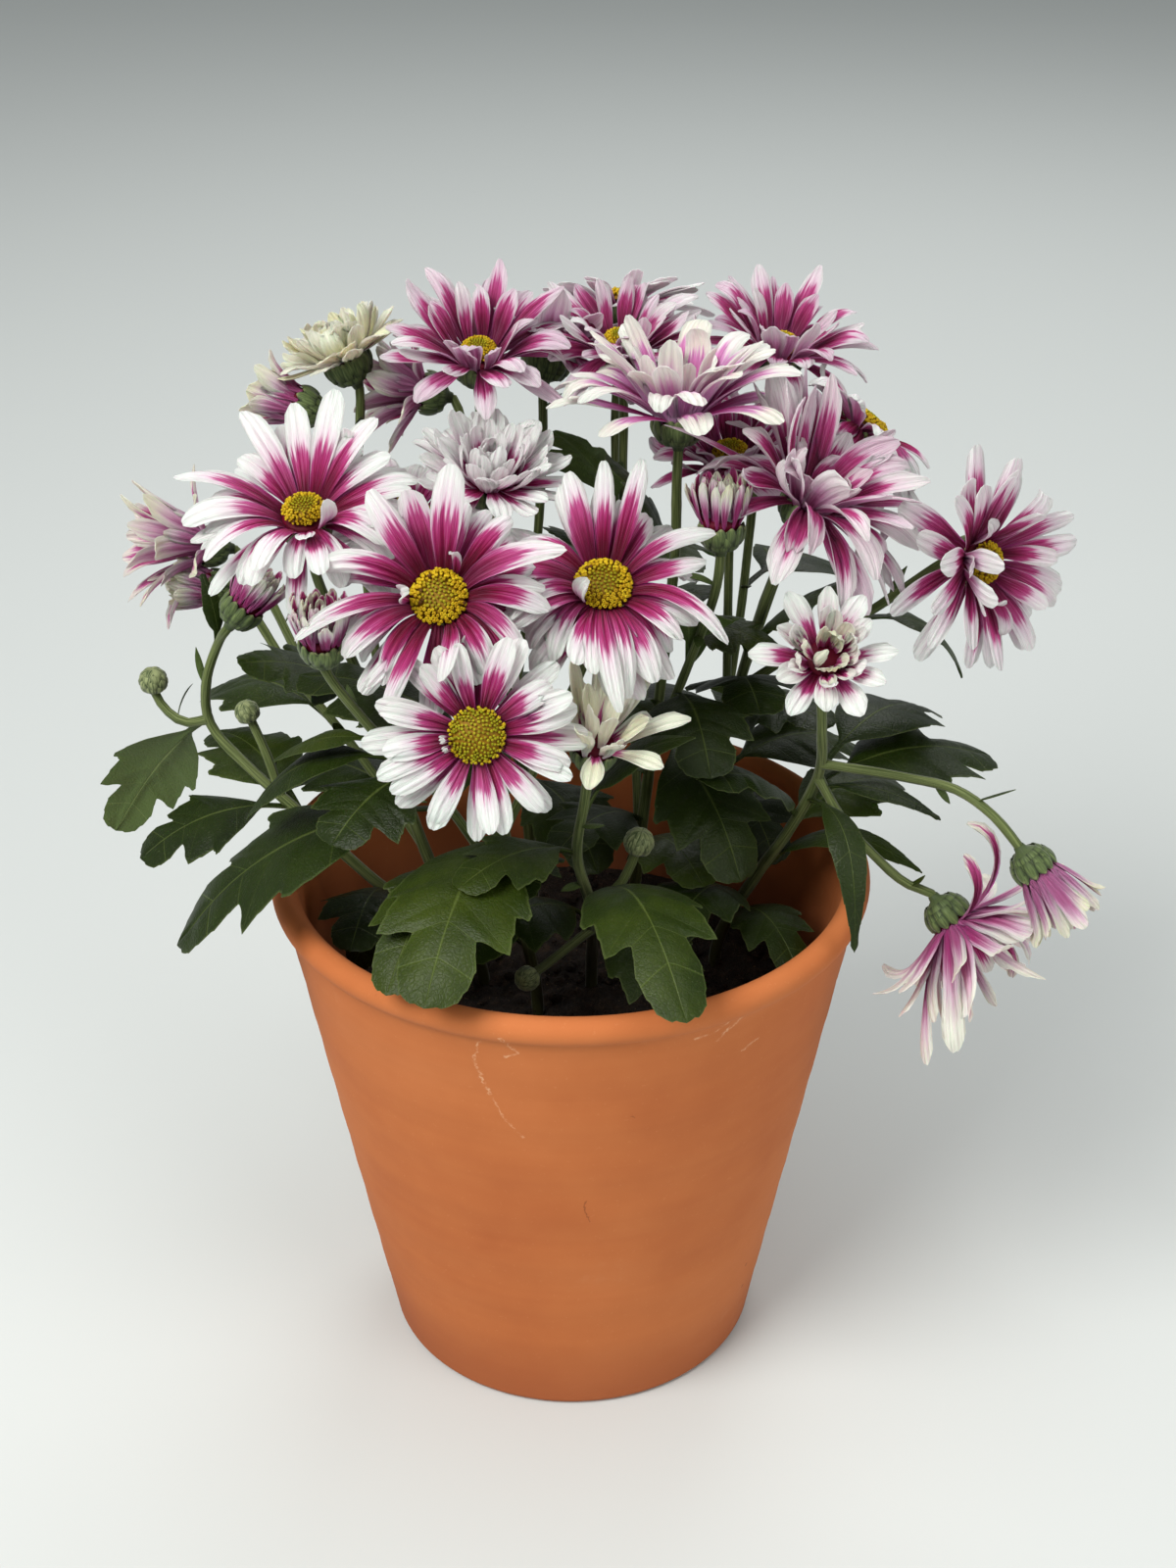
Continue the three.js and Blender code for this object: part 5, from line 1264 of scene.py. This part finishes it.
def ring_rays(head, row, rng):
    """A ring of rays that the solid has no room for, or an arc of it."""
    start, end = row["arc"]
    rays = []
    for i in range(row["count"]):
        azimuth = 2 * math.pi * (i + row["offset"]) / row["count"] + rng.uniform(-1, 1) * row["stray"]
        if (math.degrees(azimuth) % 360 - start) % 360 > end - start:
            continue
        rays.append(dict(
            azimuth=azimuth,
            root_radius=head["hub"] * row["radius"],
            heading=azimuth + rng.uniform(-RING_STRAY["heading"], RING_STRAY["heading"]),
            root=row["root"] + rng.uniform(-1, 1) * RING_STRAY["root"],
            tip=row["tip"] + rng.uniform(-1, 1) * row["wild"],
            length=(head["reach"] - head["hub"]) * row["length"] * rng.uniform(*RING_STRAY["length"]),
            width=RAY_WIDTH * row["width"] * rng.uniform(*RING_STRAY["width"]),
            twist=rng.uniform(-1, 1) * RING_STRAY["twist"],
            sway=rng.uniform(-1, 1) * RING_STRAY["sway"],
            look=row["look"],
        ))
    return rays


def own_ray(head, row):
    """One ray that is placed on its own, from a listed row."""
    bearing, root, tip, length, width, curl, twist, sag = row
    azimuth = math.radians(bearing)
    return dict(
        azimuth=azimuth, root_radius=head["hub"] * 0.95, heading=azimuth, root=root, tip=tip, length=length,
        width=width, twist=twist, sway=0.03, curl=curl, sag=sag,
    )


def ray_line(shape, along, curl, sag):
    """Points of a ray's middle line with the ways it leans aside and faces there, in its head's frame. The
    line curls over its outer half and sags, both by more than the solid's ray does."""
    fine = np.linspace(0, 1, RAY_LINE_STEPS + 1)[:, None]
    start, bend = math.radians(shape["root"]), math.radians(shape["tip"] - shape["root"])
    angle = start + bend * fine + curl * np.clip((fine - 0.45) / 0.55, 0, 1) ** 2
    outward = level(shape["heading"])
    heading = unit(np.cos(angle) * outward + np.sin(angle) * UP + fine**1.3 * sag)
    run = np.cumsum((heading[1:] + heading[:-1]) / (2 * RAY_LINE_STEPS), axis=0)
    run = np.concatenate(([[0, 0, 0]], run))
    inside, here = np.minimum(along, 0), np.clip(along, 0, 1)

    def at_here(values):
        return np.stack([np.interp(here, fine[:, 0], column) for column in values.T], axis=-1)

    sideways = beside(outward)
    tangent = at_here(heading)
    line = at_here(run) + inside[..., None] * heading[0] + (shape["sway"] * here**2)[..., None] * sideways
    flat = unit(sideways - tangent * np.sum(sideways * tangent, axis=-1, keepdims=True))
    normal = np.cross(tangent, flat)
    twist = (shape["twist"] * here)[..., None]
    across = np.cos(twist) * flat + np.sin(twist) * normal
    lift = np.cos(twist) * normal - np.sin(twist) * flat
    return ray_root(shape) + shape["length"] * line, across, lift


def bent_line(shape, look, basis, along, rng):
    """The middle line of a ray with its own curl, length, twist, sway and sag."""
    is_own = "curl" in shape
    curl = look["curl"] + rng.uniform(-1, 1) * look["curl_spread"]
    if is_own:
        curl = shape["curl"]
    elif rng.random() < look["hooked"]:
        curl = rng.choice([-1, 1], p=[0.7, 0.3]) * rng.uniform(1.0, 2.2)
    shape = {
        **shape,
        "length": shape["length"] * (1 + rng.uniform(-1, 0.3) * look["length_spread"]),
        "twist": shape["twist"] + rng.uniform(-1, 1) * look["twist"],
        "sway": shape["sway"] + rng.uniform(-1, 1) * look["sway"],
    }
    leaning = math.radians((shape["root"] + shape["tip"]) / 2)
    outward = level(shape["heading"]) @ basis
    if not is_own:
        curl -= look["droop"] * (math.cos(leaning) * basis[2][2] - math.sin(leaning) * outward[2])
    sideways = 0.15 + 1.5 * math.exp(-(((outward[2] + 0.15) / 0.5) ** 2))
    sag = shape.get("sag", look["sag"] * rng.uniform(0.2, 1.6) * sideways)
    return ray_line(shape, along, curl, basis @ UP * -sag)


def ray_sheets(shape, look, basis, rng):
    """Front and back of one ray, with its UV grid: blunt and notched at the end, grooved and cupped along."""
    rows, cols = look["grid"]
    x = np.linspace(-1, 1, cols)[None, :]
    s = np.linspace(0, 1, rows)[:, None]
    notches = look["notch"] * (0.5 + 0.5 * np.cos(x * math.pi * 3 + rng.uniform(-0.6, 0.6)))
    end = 1 - look["blunt"] * np.abs(x) ** 2.2 - notches * (1 - np.abs(x))
    along = RAY_START + (end - RAY_START) * s
    width = 0.38 + 0.62 * smooth_step(along, -0.05, 0.62) - look["taper"] * smooth_step(along, 0.72, 1.0)
    width = width * (1 - look["spoon"] * bump_at(along, 0.55, 0.2))
    half = shape["width"] / 2 * width * look["width"] * (1 + rng.uniform(-1, 1) * look["width_spread"])
    centre, across, lift = bent_line(shape, look, basis, along, rng)

    roll = look["roll"] + rng.uniform(-1, 1) * look["roll_spread"]
    roll = roll + (look["tip_roll"] + rng.uniform(-0.35, 0.35)) * np.clip(along, 0, 1) ** 2
    roll = np.where(np.abs(roll) < 0.02, 0.02, roll)
    aside = half * np.sin(x * roll) / roll
    cup = half * (1 - np.cos(x * roll)) / roll
    fade = smooth_step(along, 0.0, 0.2) * smooth_step(along, 1.02, 0.85)
    grooves = look["groove"] * fade * np.cos(x * math.pi * 2.5 + rng.uniform(-0.5, 0.5))
    waves = rng.uniform(0, 6.28), rng.uniform(0, 6.28)
    ripple = 0.06 * half * x**2 * np.sin(along * 7 + np.where(x > 0, *waves))
    rise = cup - 0.35 - grooves + ripple
    front = centre + across * aside[..., None] + lift * rise[..., None]
    thickness = look["thickness"] * (1 - 0.75 * np.abs(x) ** 5) * (1 - 0.5 * smooth_step(along, 0.9, 1))
    back = front - lift * thickness[..., None]
    return front, back, np.stack((0.5 + 0.5 * x + 0 * s, np.clip(along, 0, 1)), axis=-1)


def ray_tone(look, rng):
    """A ray's four numbers: its own, how far the magenta reaches, paleness, and mauve and cream in one."""
    reach = look["magenta"] + rng.uniform(-1, 1) * look["magenta_spread"]
    pale = np.clip(look["pale"] + rng.uniform(-0.12, 0.12), 0, 1)
    mauve = round(10 * float(np.clip(look["mauve"] + rng.uniform(-1, 1) * look["mauve_spread"], 0, 1)))
    tint = float(np.clip(look["tint"] * rng.uniform(0.5, 1.2), 0.01, 0.99))
    return rng.random(), reach, pale, mauve + tint


def make_bloom(head, index, material):
    """The rays of a head, and the hub that they stand round."""
    rng = np.random.default_rng(RAY_SEED + index)
    rays = settled_rays(head, index)
    for row in head["look"]["extra"]:
        rays += ring_rays(head, row, rng)
    rays += [own_ray(head, row) for row in head["look"]["own"]]
    piece = Piece()
    for shape in rays:
        look = {**head["look"], **shape.get("look", {})}
        front, back, uv = ray_sheets(shape, look, head["basis"], rng)
        piece.shell(to_world(front, head), to_world(back, head), uv, ray_tone(look, rng))
    radii = (0.02, head["hub"] * 0.9, head["hub"], head["hub"] * 1.02, 0.1)
    hub = revolved(radii, (0.1, 0, HUB_EDGE, CALYX_TOP, CALYX_TOP), circle(HUB_SIDES))
    piece.grid(to_world(hub, head), np.zeros((*hub.shape[:2], 2)), (0.5, 2.0, 0, 0.01), wrap=True)
    piece.make(f"bloom_{head['name']}", [material], f"rays_{head['name']}", "ray_florets")


def make_disc(head, index, material):
    """The disc: a dome of little tubes set in the spiral of a sunflower."""
    look = head["look"]
    radius = DISC_RADIUS * head["kind"]["disc"] * look["disc"]
    rng = np.random.default_rng(DISC_SEED + index)
    piece = Piece()
    quarter = np.linspace(0, 1, 8) * math.pi / 2
    core_heights = DISC_FOOT - 0.4 + DISC_RISE * np.cos(quarter)
    core = revolved(0.93 * radius * np.sin(quarter), core_heights, circle(HUB_SIDES))
    piece.grid(to_world(core, head), np.zeros((*core.shape[:2], 2)), (0.3, 0.4, 0, 0), wrap=True)
    count = look["florets"]
    uv = uv_grid(np.linspace(0, 1, FLORET_SIDES), np.array([0, 0.3, 0.7, 0.9, 0.2]))
    for i in range(count):
        share = math.sqrt((i + 0.5) / count)
        turn = i * GOLDEN_TURN + rng.uniform(-0.08, 0.08)
        tilt = share * DISC_TILT
        foot_radius = radius * 0.96 * math.sin(tilt) / math.sin(DISC_TILT)
        foot = np.array([foot_radius, 0, DISC_FOOT + DISC_RISE * math.cos(share * math.pi / 2) ** 0.8])
        ripe = float(np.clip((share - look["ripe_from"]) * 5 + rng.uniform(-0.3, 0.3), 0, 1))
        size = (0.46 + 0.05 * ripe) * radius / 7 * math.sqrt(150 / count) * rng.uniform(0.9, 1.12)
        height = 0.6 + 0.75 * ripe * rng.uniform(0.5, 1.1)
        radii = np.array([0.55, 0.85, 1.0 + 0.25 * ripe, 0.75, 0.12]) * size
        heights = np.array([-0.5, 0.1, 0.75, 0.95, 0.95 - 0.5 * ripe]) * height
        lean = tilt * 0.8 + rng.uniform(-0.1, 0.1)
        floret = turned(revolved(radii, heights, circle(FLORET_SIDES)), np.array([0.0, 1.0, 0.0]), lean)
        floret = turned(floret + foot, UP, turn)
        speck = 1.0 if rng.random() < 0.035 * ripe else 0.0
        piece.grid(to_world(floret, head), uv, (rng.random(), ripe, 0, speck), wrap=True)
    piece.make(f"florets_{head['name']}", [material], f"disc_{head['name']}", "disc_florets")


# -------------------------------------------------------------------------------- stems and leaves


def bract(piece, foot, outward, up, length, width, bend, own, pale=0.0):
    """One small scale: it lies along up at first and bends outward or inward over its length."""
    rows, cols = BRACT_GRID
    x, s = np.linspace(-1, 1, cols)[None, :], np.linspace(0, 1, rows)[:, None]
    angle = bend * s[1:]
    run = np.concatenate(([[0]], np.cumsum(np.cos(angle) * length / (rows - 1), axis=0)))
    lean = np.concatenate(([[0]], np.cumsum(np.sin(angle) * length / (rows - 1), axis=0)))
    half = width / 2 * (0.75 + 0.35 * np.sin(s * math.pi * 0.8)) * np.sqrt(np.clip(1.02 - s**3, 0, 1))
    dome = 0.24 * width * (1 - x**2) * np.sin(0.4 + 2.6 * s)
    side = np.cross(up, outward)
    front = foot + up * run[..., None] + outward * (lean + dome)[..., None] + side * (half * x)[..., None]
    piece.shell(front, front - outward * 0.22, even_uv(front), (own, 0, 0, pale), 1)


def calyx(piece, head, rng):
    """The green cup under a head: a round body with rows of scales on it."""
    scale = head["kind"]["size"]
    radius = CALYX_RADIUS * scale
    radii = [BRANCH_RADIUS, BRANCH_RADIUS * 1.2, *(radius * np.array([0.5, 0.76, 0.92, 0.94])), 0.1]
    heights = [CALYX_BOTTOM + above for above in (-0.8, 0.4, 1.2, 2.6, 4.4)] + [CALYX_TOP - 0.2] * 2
    body = revolved(radii, heights, circle(CALYX_SIDES))
    piece.grid(to_world(body, head), even_uv(body, 0.5), (0.5, 0, 0, 0), 1, wrap=True)
    basis = head["basis"]
    for row, (count, share, height, length, bend, slope) in enumerate(CALYX_ROWS):
        for i in range(count):
            radial = level(2 * math.pi * (i + 0.5 * row + rng.uniform(-0.12, 0.12)) / count)
            foot = radial * radius * share + UP * (CALYX_BOTTOM + height)
            up = unit(UP + radial * slope)
            outward = unit(radial - up * np.dot(radial, up))
            long = length * scale * rng.uniform(0.9, 1.1)
            curved = -bend * 0.6 + rng.uniform(-0.1, 0.25)
            width = CALYX_SCALE_WIDTH * scale
            bract(piece, to_world(foot, head), outward @ basis, up @ basis, long, width, curved, rng.random())


def green_bud(piece, at, radius, axis, rng):
    """A closed bud: a ball of overlapping scales."""
    other = unit(np.cross(axis, [0.3, 0.9, 0.1]))
    basis = np.stack((other, np.cross(axis, other), axis))
    theta = np.linspace(0.02, math.pi - 0.02, BUD_RINGS)
    ball = revolved(np.sin(theta), -np.cos(theta), circle(BUD_SIDES)) * radius * 0.88
    piece.grid(ball @ basis + at, even_uv(ball, 0.5), (0.4, 0, 0, 0), 1, wrap=True)
    for row, (count, height) in enumerate(BUD_ROWS):
        flat = math.sqrt(1 - height**2)
        for i in range(count):
            radial = level(2 * math.pi * (i + 0.5 * row + rng.uniform(-0.1, 0.1)) / count)
            place = radial * flat + UP * height
            foot = place * radius * 0.9 @ basis + at
            outward, up = unit(place) @ basis, unit(UP * flat - radial * height) @ basis
            bract(piece, foot, outward, up, radius * 1.15, radius * 0.85, -1.15, rng.random(), 0.42)


def stem_points(path, head):
    """The points of a stem, with a trunk's foot in the soil and the end of a stem under its head."""
    points = []
    for point in path:
        if len(point) == 2:
            points += [[*point, SOIL_TOP - ROOT_DEPTH], [*point, SOIL_TOP + ROOT_RISE]]
        else:
            points.append(point)
    if head:
        axis = head["basis"][2]
        points += [head["at"] + axis * height for height in (CALYX_BOTTOM - 1, CALYX_BOTTOM + 2)]
    return np.array(points, float)


def add_stem(piece, path, is_trunk, rng):
    """A ribbed stem with faint knots, thicker where it leaves another one. Its middle line is returned."""
    length = path.lengths[-1]
    rings = max(6, int(length / STEM_RING_STEP))
    middle = path.spaced(rings)
    share = np.linspace(0, 1, rings + 1)
    start = TRUNK_RADIUS if is_trunk else BRANCH_RADIUS
    radii = (start + (BRANCH_RADIUS - start) * share) * STEM_SLIMNESS
    if not is_trunk:
        radii = radii * (1 + 0.25 * np.exp(-share * length / 3.0))
    radii = radii * (1 + 0.06 * bump_at(share * length % KNOT_STEP, 11, 2.2))
    tone = np.zeros((rings + 1, STEM_SIDES, 4))
    tone[..., 0] = rng.random()
    tone[..., 1] = smooth_step(middle[:, 2:], *STEM_BROWNING)
    uv = uv_grid(np.linspace(0, 1, STEM_SIDES), share * length / 30)
    piece.grid(tube(middle, radii, STEM_SIDES, 0.05), uv, tone, wrap=True)
    return middle


def small_bracts(piece, middle, rng):
    """Narrow little leaves along the upper part of a stem."""
    rows, cols = SMALL_BRACT_GRID
    s, x = np.linspace(0, 1, rows)[:, None], np.linspace(-1, 1, cols)[None, :]
    for place in SMALL_BRACT_PLACES:
        i = int(len(middle) * (place + rng.uniform(-0.05, 0.05)))
        if i >= len(middle) - 3 or middle[i][2] < SMALL_BRACT_FLOOR or rng.random() < 0.25:
            continue
        along = unit(middle[i + 1] - middle[i])
        aside = unit(np.cross(along, rng.normal(size=3)))
        length, width = rng.uniform(6, 12), rng.uniform(1.8, 3.0)
        angle = 0.9 + rng.uniform(-0.3, 0.9) * s
        step = length / (rows - 1)
        run = np.cumsum(np.cos(angle) * step, axis=0)
        lean = np.cumsum(np.sin(angle) * step, axis=0)
        half = width / 2 * np.sin(np.clip(0.15 + s * 0.9, 0, 1) * math.pi) ** 0.7 + 0.05
        front = middle[i] + along * run[..., None] + aside * (lean + 0.3 * x**2 * half)[..., None]
        front = front + np.cross(along, aside) * (half * x)[..., None]
        piece.shell(front, front - aside * 0.25 + along * 0.1, even_uv(front), (rng.random(), 1, 0, 0))


def leaf_stations(shape, count):
    """Places in a leaf's outline from foot to tip, with the places on rib and edge and the width there."""
    table = np.array(LEAF_SHAPES[shape], float)
    last = len(table) - 1
    places = np.linspace(0, last, count)
    rows = []
    for place in places:
        i = min(int(place), last - 1)
        a, b = table[i], table[i + 1]
        start, end = (b - table[max(i - 1, 0)]) / 2, (table[min(i + 2, last)] - a) / 2
        rows.append(0.55 * hermite(a, b, start, end, place - i) + 0.45 * (a + (b - a) * (place - i)))
    rib_at, edge_at, share = np.array(rows).T
    return places, rib_at, edge_at, np.clip(share, 0, 1.05)


def vein_distance(shape, places):
    """How far each row of a leaf is from the nearest side vein, in rows of its table."""
    veins = np.array(LEAF_VEINS[shape])
    return np.clip(np.min(np.abs(places[:, None] - veins[None, :]), axis=1) / 0.8, 0, 1)


def leaf_surface(leaf, foot, rng):
    """Front and back of one leaf before it is turned, with its UV grid and its looks."""
    shape, _, tip, width, arch, roll = leaf
    chord = np.array(tip, float) - foot
    side = turned(unit(np.cross(chord, UP)), unit(chord), math.radians(roll))
    top = foot + chord / 2 + unit(np.cross(side, chord)) * 2 * arch * np.linalg.norm(chord)
    rows, half_cols = LEAF_GRID
    places, rib_at, edge_at, share = leaf_stations(shape, rows)

    def rib(t):
        t = t[..., None]
        return foot * (1 - t) ** 2 + top * 2 * t * (1 - t) + np.array(tip, float) * t**2

    def tangent(t):
        t = t[..., None]
        return unit((top - foot) * 2 * (1 - t) + (np.array(tip, float) - top) * 2 * t)

    last = len(LEAF_SHAPES[shape]) - 1
    blade = smooth_step(places, 1.0, 1.8) * smooth_step(places, last, last - 0.5)
    teeth = (places * LEAF_TEETH[shape]) % 1.0
    share = share * (1 + blade * 0.045 * (teeth - 0.55)) + blade * 0.01
    edge_at = np.clip(edge_at + blade * 0.008 * (teeth - 0.5), 0, 1)
    half = np.maximum(PETIOLE_HALF_WIDTH * smooth_step(places, last, last - 0.3), share * width / 2)[:, None]
    across = np.linspace(-1, 1, 2 * half_cols + 1)[None, :]
    out = np.abs(across)
    lift = np.cross(np.broadcast_to(side, (rows, 3)), tangent(edge_at))[:, None]
    edge = rib(edge_at)[:, None] + side * (np.sign(across) * half)[..., None]
    edge = edge - lift * (LEAF_HANG * half)[..., None]
    points = rib(rib_at)[:, None] * (1 - out)[..., None] + edge * out[..., None]

    wave = rng.uniform(0, 6.28, 2)
    blade, share_along = blade[:, None], (places / last)[:, None]
    left, right = np.sin(places * 1.5 + wave[0]), np.sin(places * 1.7 + wave[1])
    flutter = np.where(across < 0, left[:, None], right[:, None])
    vein = vein_distance(shape, places)[:, None]
    bulge = np.sin(out * math.pi)
    puff = 0.05 * half * bulge
    ridge = 0.45 * (vein**0.7 - 0.5) * blade * bulge * width / USUAL_LEAF_WIDTH
    ripple = 0.07 * half * blade * flutter * out**2
    groove = -0.5 * bump_at(out, 0, 0.12) * blade * width / USUAL_LEAF_WIDTH
    front = points + lift * (puff + ridge + ripple + groove)[..., None]
    thick = 0.34 + 1.1 * bump_at(out, 0, 0.1) * (1 - 0.8 * share_along)
    back = front - lift * (thick * (1 - 0.6 * out**6))[..., None]
    tone = np.zeros((*front.shape[:2], 4))
    tone[..., 0] = rng.random()
    tone[..., 1] = vein
    tone[..., 3] = rng.random()
    return front, back, uv_grid(0.5 + 0.5 * across[0], share_along[:, 0]), tone


def add_leaf(piece, leaf, coarse_lines, fine_lines, tree, rng):
    """One leaf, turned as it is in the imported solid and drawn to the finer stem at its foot."""
    foot = nearest_on(coarse_lines, np.array(leaf[1], float))
    tip = np.array(leaf[2], float)
    front, back, uv, tone = leaf_surface(leaf, foot, rng)
    side = unit(np.cross(tip - foot, UP))

    def settled(points, pitch, yaw, size):
        moved = turned((points - foot) * size, side, math.radians(pitch))
        return turned(moved, UP, math.radians(yaw)) + foot

    fits = (turn for turn in mixes(*LEAF_TURNS) if tree.find(Vector(settled(tip, *turn)))[2] < LEAF_MATCH)
    turn = next(fits, None)
    if turn:
        shift = nearest_on(fine_lines, foot) - foot
        pull = (np.linspace(1, 0, len(front)) ** 3)[:, None, None] * shift
        piece.shell(settled(front, *turn) + pull, settled(back, *turn) + pull, uv, tone)


def make_spray(name, index, heads, stem, scale, leaf):
    """Stems, calyxes and buds as one piece, and leaves as another."""
    rng = np.random.default_rng(SPRAY_SEED + index)
    stems, leaves = Piece(), Piece()
    coarse_lines, fine_lines = [], []
    for end, *points in SPRAYS[name][0]:
        head = heads.get(end)
        points = stem_points(points, head)
        is_trunk = not fine_lines
        if not is_trunk:
            points[0] = nearest_on(coarse_lines, points[0])
        path = Path(points)
        coarse_lines.append(path.spaced(max(2, round(path.lengths[-1] / STEM_STEP))))
        if not is_trunk:
            points[0] = nearest_on(fine_lines, points[0])
            path = Path(points)
        middle = add_stem(stems, path, is_trunk, rng)
        fine_lines.append(middle)
        if head:
            calyx(stems, head, rng)
        else:
            green_bud(stems, points[-1], end, unit(points[-1] - points[-2]), rng)
        small_bracts(leaves, middle, rng)
    tree = vertex_tree(f"spray_{name}")
    for row in SPRAYS[name][1]:
        add_leaf(leaves, row, coarse_lines, fine_lines, tree, rng)
    stems.make(f"stems_{name}", [stem, scale], f"spray_{name}", "foliage")
    leaves.make(f"leaves_{name}", [leaf], f"spray_{name}", "foliage")


# -------------------------------------------------------------------------------- the scene


def make_stage(material):
    """The plain floor under the pot."""
    mesh = bpy.data.meshes.new("floor")
    corners = [(x * STAGE_REACH, y * STAGE_REACH, 0) for x, y in ((-1, -1), (1, -1), (1, 1), (-1, 1))]
    mesh.from_pydata(corners, [], [(0, 1, 2, 3)])
    mesh.materials.append(material)
    floor = bpy.data.objects.new("floor", mesh)
    bpy.context.scene.collection.objects.link(floor)


def make_light(name, at, height, size, power, colour):
    """A round soft light that shines at the axis of the pot, at the given height."""
    light = bpy.data.lights.new(name, "AREA")
    light.shape = "DISK"
    light.size = size
    light.energy = power
    light.color = colour
    lamp = bpy.data.objects.new(name, light)
    lamp.location = at
    lamp.rotation_euler = (Vector((0, 0, height)) - Vector(at)).to_track_quat("-Z", "Y").to_euler()
    bpy.context.scene.collection.objects.link(lamp)


def make_lights():
    """The lights, and the even sky that fills their shadows."""
    for name, row in LIGHTS.items():
        make_light(name, *row)
    world = bpy.data.worlds.new("studio")
    bpy.context.scene.world = world
    world.use_nodes = True
    background = world.node_tree.nodes["Background"]
    background.inputs["Color"].default_value = (*srgb(*SKY_COLOUR), 1)
    background.inputs["Strength"].default_value = SKY_STRENGTH
    bpy.context.scene.view_settings.view_transform = "Standard"


def make_camera():
    """The photograph's point of view."""
    camera = bpy.data.cameras.new("camera")
    camera.sensor_fit = "VERTICAL"
    camera.sensor_height = CAMERA_SENSOR
    camera.sensor_width = CAMERA_SENSOR
    camera.lens = CAMERA_LENS
    eye = bpy.data.objects.new("camera", camera)
    eye.location = CAMERA_AT
    eye.rotation_euler = (math.radians(90) + CAMERA_PITCH, 0, 0)
    bpy.context.scene.collection.objects.link(eye)
    bpy.context.scene.camera = eye


make_stage(floor_material())
make_lights()
make_camera()
make_pot(terracotta_material())
make_soil(soil_material())
ray_paint, floret_paint = ray_material(), floret_material()
greens = [stem_material(), bract_material(), leaf_material()]
all_heads = read_heads()
for number, spray_name in enumerate(SPRAYS):
    make_spray(spray_name, number, all_heads, *greens)
for number, one_head in enumerate(all_heads.values()):
    make_bloom(one_head, number, ray_paint)
    if one_head["kind"]["disc"]:
        make_disc(one_head, number, floret_paint)
